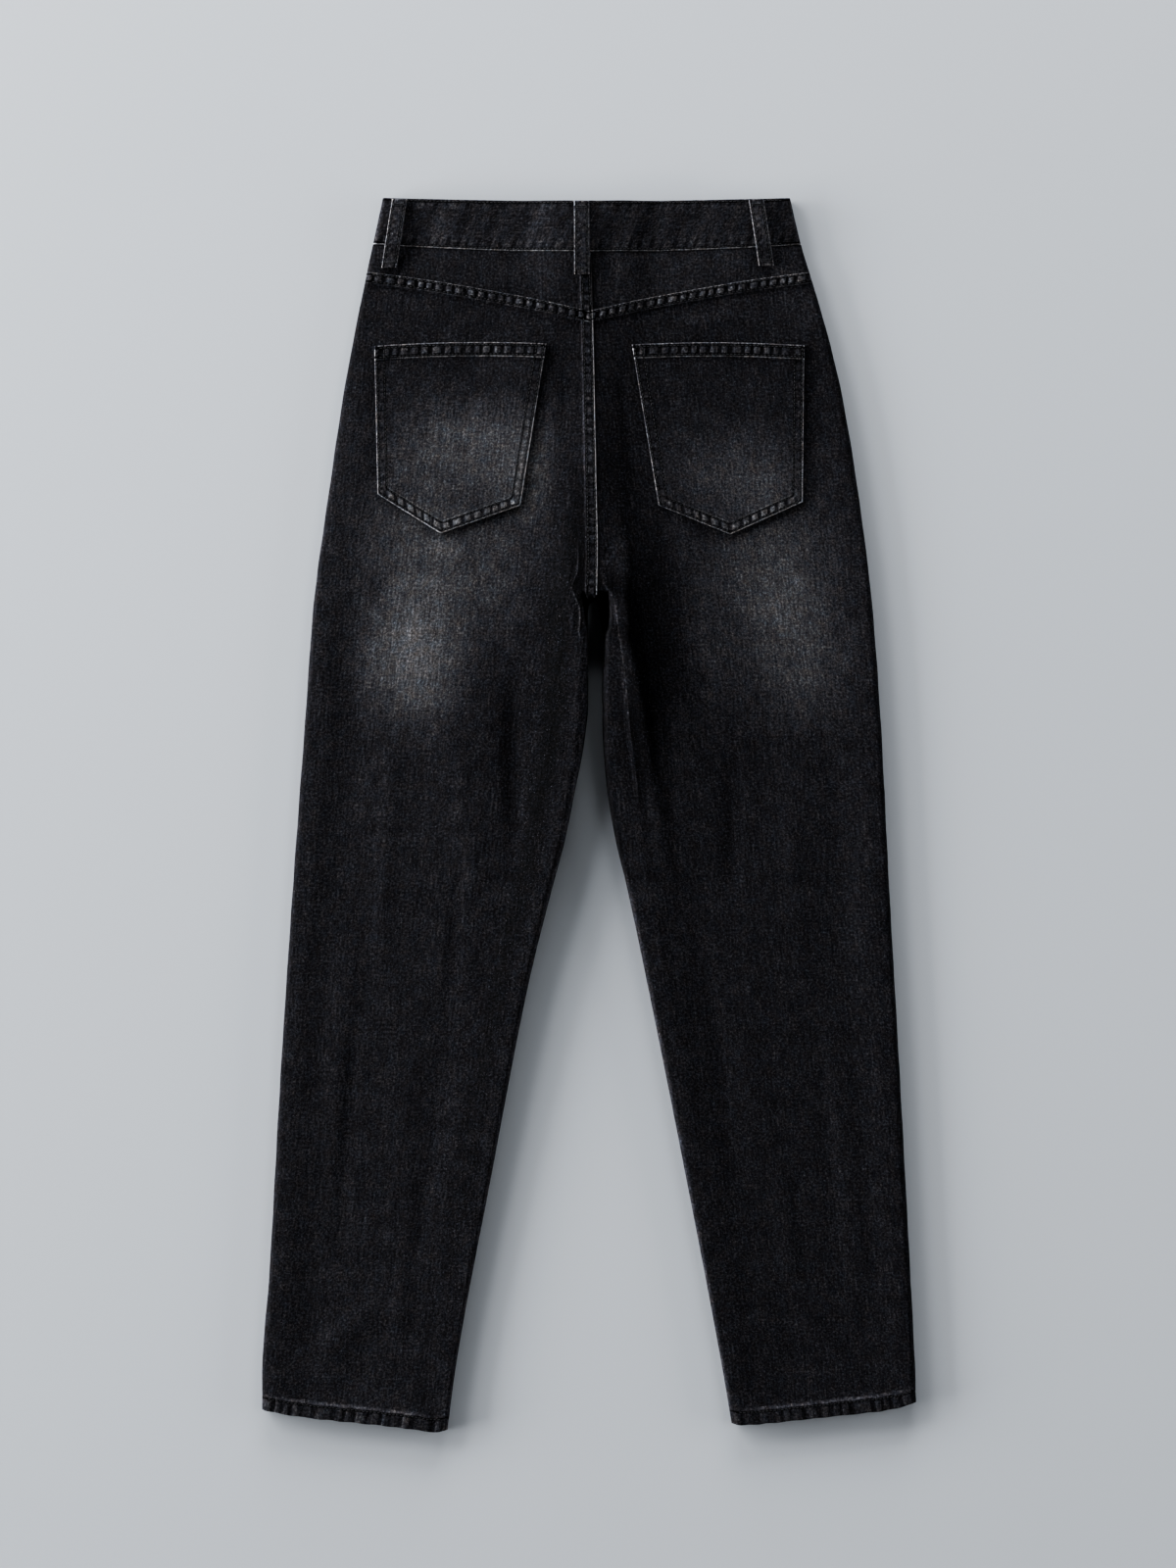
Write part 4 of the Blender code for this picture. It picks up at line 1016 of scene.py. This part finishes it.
def loop_piece(name, middle, down, face, up):
    """A belt loop along its rows' middles, with turned edges and a ridge inside each."""
    part = np.concatenate([[-0.5, -0.485, -0.46, -0.42], np.linspace(-0.37, 0.37, 15),
                           [0.42, 0.46, 0.485, 0.5]])[None, :]
    left, right = (0.5 + part) * LOOP_WIDTH, (0.5 - part) * LOOP_WIDTH
    edge = np.minimum(left, right)
    seed = 0.8 + 3 * abs(middle[0, 0])
    ends = np.minimum(down - down[0], down[-1] - down)
    form = soften(edge, 0.0008) + LOOP_RIDGE * np.exp(-(((edge - ROW_IN) / 0.0006) ** 2))
    form = form - LOOP_PUCKER * uneven(down + edge, 0.0068, seed) + soften(ends, 0.0007)
    x = middle + LOOP_WIDTH * part
    wear_and_shade = 0.40 * fade(ends, 0.0005, 0.0014) + 0.2 * fade(np.abs(ends - 0.003), 0.0004, 0.001)
    # The left edge, which faces the light, gets the paler worn edge: wear and painted highlight
    layers = {"cloth": cloth_axes(None, x + LOOP_CUT, down), "wash": 0.17,
              "edge": 0.50 - 0.25 * part, "wear_and_shade": wear_and_shade,
              "seam_a": seam(down + left, 0.0068, seed, np.minimum(left, 0.0050), 0.12),
              "seam_b": seam(down + right, 0.0074, seed + 1, np.minimum(right, 0.0050), 0.12)}
    return build(name, grid(x, down, face - up * form), layers, LOOP_WALL - 0.0001, up)


def along_loop(count):
    ends = np.array([0, 0.004, 0.010, 0.018, 0.03])
    return np.concatenate([ends, np.linspace(0.045, 0.955, count), 1 - ends[::-1]])[:, None]


def loop_line(loop, along):
    """A back loop's middle line: its X, its down and the height of its outer face."""
    middle = loop.top_x + (loop.bottom_x - loop.top_x) * along
    down = loop.top_down + (loop.bottom_down - loop.top_down) * along
    across = [middle + part * LOOP_WIDTH for part in (-0.5, 0, 0.5)]
    base = np.max([under_back_loop(loop.side, x, down) for x in across], axis=0)
    arch = LOOP_ARCH * fade(np.abs(along - 0.5), 0.15, 0.42)
    return middle, down, base + PATCH_GAP + LOOP_WALL + arch


def back_loop(loop):
    middle, down, face = loop_line(loop, along_loop(44))
    return loop_piece(loop.name + "_cloth", middle, down, face, 1)


def front_loop(side):
    along = along_loop(30)
    down = FRONT_LOOP_TOP + (FRONT_LOOP_END - FRONT_LOOP_TOP) * along
    middle = SIDES[side] * FRONT_LOOP_AT + 0 * along
    return loop_piece("belt_loop_front_" + side + "_cloth", middle, down, 0.0, -1)


def fly_width(down):
    share = np.clip((down - FLY_BEND) / (FLY_END - FLY_BEND), 0, 1)
    return FLY_WIDTH * np.sqrt(1 - share**2)


def fly():
    start = below_band(FRONT_CENTRE)
    straight = np.linspace(start, FLY_BEND, 44)[:-1]
    bend = FLY_BEND + (FLY_END - FLY_BEND) * np.sin(np.radians(np.linspace(0, 84, 30)))
    down = np.append(straight, bend)[:, None]
    width = fly_width(down)
    across = np.concatenate([[0, 0.01, 0.03], np.linspace(0.06, 0.94, 22), [0.97, 0.99, 1]])
    inner = width * across[None, :]
    outer = width - inner
    x = centre_seam(down) - inner
    height = soften(np.minimum(inner, outer), 0.0007)
    layers = {"cloth": cloth_axes(None, x, down), "wash": 0.2, "edge": 0.5,
              "seam_a": seam(down + 0.3 * outer, 0.0068, 2.9, outer, 0.7)}
    return build("fly_cloth", grid(x, down, height), layers, CLOTH_WALL, -1)


# Thread: each stitch is a short rounded bar that dips into the cloth at both ends
def stitch_shape():
    turn = np.linspace(0, 2 * math.pi, 6)[:-1]
    rings = [(-0.50, 0.30, -1.2), (-0.36, 0.95, 0.1), (0.0, 1.05, 0.35), (0.36, 0.95, 0.1),
             (0.50, 0.30, -1.2)]
    points = [(place, size * math.cos(t), size * math.sin(t) * 0.8 + lift)
              for place, size, lift in rings for t in turn]
    faces = []
    for ring in range(len(rings) - 1):
        for i in range(5):
            j = (i + 1) % 5
            faces.append((ring * 5 + i, ring * 5 + j, ring * 5 + 5 + j, ring * 5 + 5 + i))
    return np.array(points), np.array(faces)


class Thread:
    """Gathers stitches and makes them one object."""

    def __init__(self, up):
        self.up = np.array([0.0, 0.0, up])
        self.centres = []
        self.runs = []
        self.longs = []

    def run(self, x, down, height, pitch=STITCH_PITCH, long=STITCH_LONG):
        """A row of stitches along a line of points."""
        line = grid(x, down, height)
        step = np.linalg.norm(np.diff(line, axis=0), axis=1)
        length = np.concatenate([[0], np.cumsum(step)])
        count = int((length[-1] - 0.001) / pitch)
        if count < 1:
            return
        start = (length[-1] - (count - 1) * pitch) / 2
        middles = start + pitch * np.arange(count)

        def at(place):
            return np.stack([np.interp(place, length, axis) for axis in line.T], axis=-1)

        ends = at(middles + long / 2) - at(middles - long / 2)
        centres = (at(middles + long / 2) + at(middles - long / 2)) / 2
        self.centres.append(centres + self.up * THREAD_LIFT)
        self.runs.append(ends / np.linalg.norm(ends, axis=1, keepdims=True))
        self.longs.append(np.full(count, long))

    def make(self, name):
        centres = np.concatenate(self.centres)
        runs = np.concatenate(self.runs)
        longs = np.concatenate(self.longs)[:, None, None]
        side = np.cross(self.up, runs)
        side /= np.linalg.norm(side, axis=1, keepdims=True)
        above = np.cross(runs, side)
        shape, faces = stitch_shape()
        points = (centres[:, None] + runs[:, None] * shape[None, :, :1] * longs
                  + side[:, None] * shape[None, :, 1:2] * STITCH_RADIUS
                  + above[:, None] * shape[None, :, 2:] * STITCH_RADIUS)
        count = len(shape)
        faces = faces[None] + (np.arange(len(centres)) * count)[:, None, None]
        mesh = bpy.data.meshes.new(name)
        mesh.from_pydata(points.reshape(-1, 3), [], faces.reshape(-1, 4).tolist())
        mesh.shade_smooth()
        mesh.materials.append(MATERIALS["thread"])
        return new_object(name, mesh)


def between_sides(down, inner_margin, outer_margin, side, count):
    """X of places across a leg, from a margin in from its inner edge to one from its outer edge."""
    return np.linspace(inner_edge(side, down[0]) + SIDES[side] * inner_margin,
                       outer_edge(side, down[1]) - SIDES[side] * outer_margin, count)


def band_rows(thread, x, height):
    for down in (band_edge_top(x) + ROW_IN, band_edge_low(x) - ROW_IN):
        thread.run(x, down, height(x, down))


def hem_row(thread, side, face):
    x = between_sides((LENGTH, LENGTH), 0.004, 0.004, side, 200)
    down = hem_line(side, x) - HEM_ROW
    thread.run(x, down, face(side, x, down))


def back_thread():
    thread = Thread(1)
    for side in SIDES:
        for below in (ROW_IN, ROW_TWO):
            centre_margin = 0.0012 if side == "right" else 0.0095
            x = between_sides((0.09, 0.065), centre_margin, 0.0035, side, 260)
            down = yoke_line(x) + below
            thread.run(x, down, back_height(side, x, down))
        hem_row(thread, side, back_height)
        for row in (ROW_IN, ROW_TWO):
            pocket_row(thread, side, row)
        start, end = POCKETS[side][0].x, POCKETS[side][1].x
        margin = 0.0019 / abs(end - start)
        share = margin + np.linspace(0, 1, 160) * (1 - 2 * margin)
        for row in (ROW_IN * POCKET_ROW / ROW_TWO, POCKET_ROW):
            x = start + (end - start) * share
            down = pocket_top(side, share) + row
            thread.run(x, down, pocket_height(side, x, down))
    for beside in (ROW_IN, ROW_TWO):
        for top, bottom in ((BAND_CENTRE_DEPTH + 0.002, 0.0905), (0.0935, CROTCH - 0.006)):
            down = np.linspace(top, bottom, 260)
            x = centre_seam(down) - beside
            thread.run(x, down, back_height("left", x, down))
    start, end = outer_edge("left", 0.0) + THREAD_END, outer_edge("right", 0.0) - THREAD_END
    x = np.linspace(start, end, 500)
    band_rows(thread, x, lambda x, down: band_top(x) - 0.00025)
    for loop in BACK_LOOPS:
        middle, down, face = loop_line(loop, np.linspace(0.04, 0.96, 90))
        for beside in LOOP_ROWS:
            thread.run(middle + beside, down, face - 0.0001)
        for place in (3, 5, -4, -6):
            x = middle[place] + LOOP_WIDTH * np.linspace(-0.42, 0.42, 12)
            thread.run(x, down[place], face[place], TACK_PITCH, TACK_LONG)
    return thread.make("topstitching_back")


def pocket_row(thread, side, row):
    """Stitches down one side of a pocket, to its point and up the other side."""
    top_outer, top_inner, low_inner, tip, low_outer = POCKETS[side]
    corners = [top_outer, low_outer, tip, low_inner, top_inner]
    lines = []
    for start, end in zip(corners, corners[1:]):
        run = np.array([end.x - start.x, end.down - start.down])
        length = np.linalg.norm(run)
        run = run / length
        inward = np.array([-run[1], run[0]]) * SIDES[side]
        lines.append((np.array([start.x, start.down]) + inward * row, run, length))
    first, last = lines[0], lines[-1]
    path = [first[0] + first[1] * 0.0015]
    for (a, run_a, _), (b, run_b, _) in zip(lines, lines[1:]):
        cross = run_a[0] * run_b[1] - run_a[1] * run_b[0]
        t = ((b[0] - a[0]) * run_b[1] - (b[1] - a[1]) * run_b[0]) / cross
        path.append(a + run_a * t)
    path.append(last[0] + last[1] * (last[2] - 0.0015))
    for start, stop in zip(path, path[1:]):
        x, down = (start + (stop - start) * np.linspace(0, 1, 140)[:, None]).T
        thread.run(x, down, pocket_height(side, x, down))


def front_thread():
    thread = Thread(-1)
    for side, sign in SIDES.items():
        hem_row(thread, side, front_low)
        for row in (ROW_IN, ROW_TWO):
            down = np.linspace(BAND_CENTRE_DEPTH + 0.001, MOUTH_END - 0.003, 200)
            x = pocket_mouth(side, down) - sign * row
            thread.run(x, down, front_under(x, down))
    for start, end in ((OVERLAP_END - 0.001, outer_edge("left", 0.0) + THREAD_END),
                       (UNDERLAP_END + 0.03, outer_edge("right", 0.0) - THREAD_END)):
        x = np.linspace(start, end, 300)
        band_rows(thread, x, lambda x, down: front_under(x, down) + 0.0003)
    for row in (ROW_IN, ROW_TWO):
        down = np.linspace(BAND_CENTRE_DEPTH + 0.002, FLY_END - 0.0006, 300)
        width = fly_width(down) - row
        keep = width > 0.003
        thread.run((centre_seam(down) - width)[keep], down[keep], 0.0)
    for side in SIDES:
        down = np.linspace(FRONT_LOOP_TOP + 0.002, FRONT_LOOP_END - 0.002, 60)
        for beside in LOOP_ROWS:
            thread.run(SIDES[side] * FRONT_LOOP_AT + beside, down, 0.0001)
    return thread.make("topstitching_front")


class Value:
    """A value in a material, which can be added, subtracted and multiplied."""

    def __init__(self, nodes, socket):
        self.nodes = nodes
        self.socket = socket

    def __add__(self, other):
        return self.nodes.math("ADD", self, other)

    def __sub__(self, other):
        return self.nodes.math("SUBTRACT", self, other)

    def __rsub__(self, other):
        return self.nodes.math("SUBTRACT", other, self)

    def __mul__(self, other):
        return self.nodes.math("MULTIPLY", self, other)


class Nodes:
    """Adds shader nodes and links to a material in short calls."""

    def __init__(self, name):
        self.material = bpy.data.materials.new(name)
        self.material.use_nodes = True
        self.tree = self.material.node_tree
        self.shader = self.tree.nodes["Principled BSDF"]

    def put(self, target, value):
        if isinstance(value, Value):
            self.tree.links.new(value.socket, target)
        else:
            target.default_value = value

    def surface(self, inputs):
        """Sets the shader's inputs and gives the material."""
        for key, value in inputs.items():
            self.put(self.shader.inputs[key], value)
        return self.material

    def add(self, kind, output, inputs, **settings):
        node = self.tree.nodes.new("ShaderNode" + kind)
        for key, value in settings.items():
            setattr(node, key, value)
        for key, value in inputs.items():
            self.put(node.inputs[key], value)
        return Value(self, node.outputs[output])

    def math(self, operation, a, b=0.0, clamp=False):
        return self.add("Math", 0, {0: a, 1: b}, operation=operation, use_clamp=clamp)

    def attribute(self, name, output="Fac"):
        return self.add("Attribute", output, {}, attribute_name=name, attribute_type="GEOMETRY")

    def parts(self, name):
        """The three values of an attribute that is a vector."""
        split = self.add("SeparateXYZ", 0, {0: self.attribute(name, "Vector")})
        return [Value(self, output) for output in split.socket.node.outputs]

    def place(self):
        return self.add("TexCoord", "Object", {})

    def noise(self, vector, scale, detail, rough):
        return self.add("TexNoise", "Fac", {"Vector": vector, "Scale": scale, "Detail": detail,
                                            "Roughness": rough})

    def stretched(self, vector, across, along):
        return self.add("Mapping", "Vector", {"Vector": vector, "Scale": (across, along, 1.0)})

    def between(self, value, low, high):
        return self.add("MapRange", "Result", {"Value": value, "From Min": low, "From Max": high},
                        interpolation_type="SMOOTHSTEP")

    def line(self, distance, full, none):
        """1 at no distance and up to full on both sides, and 0 from none on."""
        return 1.0 - self.between(self.math("ABSOLUTE", distance), full, none)

    def tinted(self, tone, red, green, blue):
        return self.add("CombineColor", "Color", {0: tone * red, 1: tone * green, 2: tone * blue})

    def bump(self, height, strength, distance):
        return self.add("Bump", "Normal", {"Height": height, "Strength": strength,
                                           "Distance": distance})


DARK_TINT = (1.0, 0.965, 1.14, 1.0)
PALE_TINT = (1.0, 0.985, 1.03, 1.0)
DARK = 0.0207
PALE_RATIO = 5.15
BRIGHTEST = 0.30
BACK_OF_CLOTH = 0.45


def sewn_strip(n, name):
    """What a sewn strip adds to the cloth's tone and relief, and where its worn edge is."""
    angle, band, amount = n.parts(name)
    sewn = n.between(band, 0.0022, 0.0032) * (1.0 - n.between(band, 0.0064, 0.0075)) * amount
    blob = n.between(n.math("SINE", angle), -0.80, 0.10)
    rows = n.line(band - ROW_IN, 0.00035, 0.00095) + n.line(band - ROW_TWO, 0.00035, 0.00095)
    rows = rows * n.math("MULTIPLY", amount, 6.0, True)
    beyond = n.line(band - FELL_WIDTH, 0.0002, 0.0008) * (amount * 0.62)
    tone = (blob * 1.25 - 0.55) * sewn - rows + beyond
    relief = blob * sewn * 0.9 - rows * 0.8
    edge = (1.0 - n.between(band, 0.0007, 0.0014)) * n.between(band, -0.00012, 0.00025)
    return tone, relief, edge


def crease_wear_highlight_shade(n):
    """What a crease adds to the tone: a pale line, wear and painted highlight, and painted shade
    right of it.
    """
    far, bright, shade = n.parts("crease")
    painted_shade = n.between(far, 0.0002, 0.0022) * (1.0 - n.between(far, 0.004, 0.045))
    return n.line(far, 0.0002, 0.0010) * bright - painted_shade * shade


def denim_material():
    n = Nodes("washed_black_denim")
    cloth = n.attribute("cloth", "Vector")
    wash = n.attribute("wash")
    heather = n.noise(cloth, 520.0, 3.0, 0.80)
    speck = n.noise(cloth, 760.0, 1.0, 0.5)
    slub = n.noise(n.stretched(cloth, 640.0, 75.0), 1.0, 2.0, 0.6)
    streak = n.noise(n.stretched(cloth, 150.0, 9.0), 1.0, 2.0, 0.55)
    patch = n.noise(cloth, 55.0, 4.0, 0.6)
    twill = n.add("TexWave", "Fac", {"Vector": cloth, "Scale": 520.0, "Distortion": 0.6,
                                     "Detail": 1.0, "Detail Scale": 2.0},
                  wave_type="BANDS", bands_direction="DIAGONAL", wave_profile="SIN")
    tone_a, relief_a, edge_a = sewn_strip(n, "seam_a")
    tone_b, relief_b, edge_b = sewn_strip(n, "seam_b")
    level = wash
    grain = 3.85 - wash * 0.95
    for texture, amount in ((patch, 0.70), (streak, 0.36), (slub, 1.25), (heather, grain),
                            (twill, 0.16)):
        level = level + (texture - 0.5) * amount
    # Pale worn edges, stronger on some sides as a painted highlight, and the wear and painted shade
    edge = n.math("MAXIMUM", edge_a, edge_b) * n.attribute("edge")
    level = level + (n.attribute("wear_and_shade") + edge) * (heather + 0.50)
    level = level + (tone_a + tone_b) + crease_wear_highlight_shade(n) + n.attribute("reverse") * BACK_OF_CLOTH
    dots = n.between(speck, 0.67, 0.79) * 0.070
    bright = n.math("POWER", PALE_RATIO, level) * DARK + dots
    bright = n.math("MINIMUM", bright, BRIGHTEST)
    tint = n.add("Mix", 2, {"Factor": n.between(level, 0.0, 0.9), 6: DARK_TINT, 7: PALE_TINT},
                 data_type="RGBA")
    warm = (n.noise(cloth, 120.0, 4.0, 0.75) - 0.5) * 0.56
    cast = n.add("CombineXYZ", "Vector", {0: warm + 1.0, 1: 1.0, 2: 1.0 - warm})
    colour = n.add("VectorMath", "Vector", {0: tint, 1: cast}, operation="MULTIPLY")
    colour = n.add("VectorMath", "Vector", {0: colour, "Scale": bright}, operation="SCALE")
    relief = relief_a + relief_b
    for texture, amount in ((twill, 0.30), (slub, 0.6), (heather, 1.1), (patch, 1.6)):
        relief = relief + texture * amount
    return n.surface({"Base Color": colour, "Roughness": heather * 0.14 + 0.84,
                      "Specular IOR Level": 0.06, "Sheen Weight": 0.015, "Sheen Roughness": 0.5,
                      "Normal": n.bump(relief, 0.7, 0.00040)})


def thread_material():
    n = Nodes("black_thread")
    place = n.place()
    level = n.noise(place, 2600.0, 2.0, 0.6) * 0.020 + n.noise(place, 90.0, 2.0, 0.6) * 0.012
    ply = n.add("TexWave", "Fac", {"Vector": place, "Scale": 900.0, "Distortion": 1.0},
                wave_type="BANDS", bands_direction="DIAGONAL")
    return n.surface({"Base Color": n.tinted(level + 0.002, 1.0, 1.0, 1.15), "Roughness": 0.62,
                      "Specular IOR Level": 0.3, "Normal": n.bump(ply, 0.4, 0.0001)})


def button_material():
    n = Nodes("antique_metal")
    place = n.place()
    cloudy = n.noise(place, 260.0, 4.0, 0.65)
    fine = n.noise(place, 1800.0, 2.0, 0.5)
    return n.surface({"Base Color": n.tinted(cloudy * 0.20 + 0.10, 1.0, 0.95, 0.88),
                      "Roughness": cloudy * 0.34 + 0.26, "Metallic": 1.0,
                      "Normal": n.bump(fine, 0.3, 0.0001)})


def floor_material():
    n = Nodes("pale_grey_floor")
    tone = n.noise(n.place(), 1.3, 1.0, 0.4) * 0.03 + 0.555
    return n.surface({"Base Color": n.tinted(tone, 0.955, 1.0, 1.065), "Roughness": 0.9,
                      "Specular IOR Level": 0.1})


MATERIALS = {"denim": denim_material(), "thread": thread_material(), "metal": button_material()}

# Each sheet's cut: its width and length, its area where it isn't a rectangle, and what it lies on
CUTS = table(
    "node wide long area rests_on",
    ("back_leg_left", 0.240, 0.955, 0.1884, ["front_leg_left"]),
    ("back_leg_right", 0.240, 0.955, 0.1877, ["front_leg_right"]),
    ("back_yoke_left", 0.189, 0.054, 0.0061, ["front_leg_left", "front_pocket_facing_left"]),
    ("back_yoke_right", 0.181, 0.054, 0.0059, ["front_leg_right", "front_pocket_facing_right"]),
    ("back_pocket_left", 0.142, 0.158, 0.0186, ["back_leg_left"]),
    ("back_pocket_right", 0.142, 0.158, 0.0189, ["back_leg_right"]),
    ("front_leg_left", 0.240, 0.985, 0.1876, ["fly"]),
    ("front_leg_right", 0.240, 0.985, 0.1860, []),
    ("front_pocket_facing_left", 0.097, 0.100, 0.0065, ["front_leg_left"]),
    ("front_pocket_facing_right", 0.097, 0.100, 0.0065, ["front_leg_right"]),
    ("belt_loop_front_left", 0.0135, 0.054, None, []),
    ("belt_loop_front_right", 0.0135, 0.054, None, []),
    ("belt_loop_back_left", 0.0135, 0.0574, None, ["waistband", "back_yoke_left"]),
    ("belt_loop_back_centre", 0.0135, 0.0606, None, ["waistband", "back_yoke_left"]),
    ("belt_loop_back_right", 0.0135, 0.0557, None, ["waistband", "back_yoke_right"]),
    ("waistband", 0.0426, 0.7405, None,
     ["waistband_button", "belt_loop_front_left", "belt_loop_front_right"]),
    ("fly", 0.0387, 0.1695, 0.0056, []))
MAKERS = {"back_leg_": back_leg, "back_yoke_": yoke, "back_pocket_": back_pocket,
          "front_leg_": front_leg, "front_pocket_facing_": front_facing,
          "belt_loop_front_": front_loop}
pieces = {start + side: make(side) for side in SIDES for start, make in MAKERS.items()}
pieces.update({loop.name: back_loop(loop) for loop in BACK_LOOPS})
pieces["waistband"] = waistband()
pieces["fly"] = fly()
for node, piece in pieces.items():
    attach(piece, "root")
    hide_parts(node)
for piece in (back_thread(), front_thread()):
    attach(piece, "root")
for material_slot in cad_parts["waistband_button"].material_slots:
    material_slot.material = MATERIALS["metal"]

# Floor, light and camera
FLOOR_RADIUS = 3.6
LIGHT_COLOUR = (0.97, 0.985, 1.0)
floor_mesh = bpy.data.meshes.new("floor")
angles = np.linspace(0, 2 * math.pi, 129)[:-1]
rim = [(FLOOR_RADIUS * math.cos(t), FLOOR_RADIUS * math.sin(t), 0) for t in angles]
floor_mesh.from_pydata(rim, [], [list(range(len(rim)))])
floor_mesh.materials.append(floor_material())
floor = new_object("floor", floor_mesh)
floor.location.z = -FLOOR_GAP


def area_light(name, place, width, height, power):
    """A soft light that looks at the middle of the jeans, level across its width."""
    light = bpy.data.lights.new(name, "AREA")
    light.shape = "RECTANGLE"
    light.size = width
    light.size_y = height
    light.energy = power
    light.color = LIGHT_COLOUR
    back = np.array(place) / np.linalg.norm(place)
    across = np.cross([0.0, 0.0, 1.0], back)
    across /= np.linalg.norm(across)
    turn = np.stack([across, np.cross(back, across), back], axis=1)
    obj = new_object(name, light)
    obj.location = place
    obj.rotation_euler = Matrix(turn.tolist()).to_euler()
    obj.visible_camera = False


# Most of the light comes in low from the left, so that every edge has a wide soft shadow
LIGHTS = table(
    "name place width height power",
    ("left_light", (-4.9726, 0.0, 0.5226), 4.0, 1.0, 905.0),
    ("left_waist_light", (-3.7465, 3.1437, 1.0396), 3.0, 1.4, 387.0),
    ("right_light", (4.9726, 0.0, 0.5226), 4.0, 1.0, 230.0),
    ("right_high_light", (4.0958, 0.0, 2.8679), 4.0, 1.8, 34.0),
    ("waist_light", (0.0, 4.95, 0.70), 4.0, 1.2, 470.0),
    ("hem_light", (0.0, -4.9726, 0.5226), 4.0, 1.0, 14.0))
for lamp in LIGHTS:
    area_light(*lamp)

# The sky is brighter to the camera than it is as a light
SKY_LIGHT, SKY_SEEN = 0.015, 0.34
world = bpy.data.worlds.new("studio")
world.use_nodes = True
sky = world.node_tree.nodes["Background"]
sky.inputs["Color"].default_value = (0.93, 0.97, 1.0, 1.0)
seen = world.node_tree.nodes.new("ShaderNodeLightPath")
strength = world.node_tree.nodes.new("ShaderNodeMapRange")
strength.inputs["To Min"].default_value = SKY_LIGHT
strength.inputs["To Max"].default_value = SKY_SEEN
world.node_tree.links.new(seen.outputs["Is Camera Ray"], strength.inputs["Value"])
world.node_tree.links.new(strength.outputs["Result"], sky.inputs["Strength"])
bpy.context.scene.world = world

camera_data = bpy.data.cameras.new("camera")
camera_data.lens = 67.5
camera_data.sensor_width = 36.0
camera = new_object("camera", camera_data)
camera.location = (-0.0012, 0.0252, 2.4)
bpy.context.scene.camera = camera
bpy.context.scene.view_settings.view_transform = "AgX"
bpy.context.scene.view_settings.look = "AgX - High Contrast"
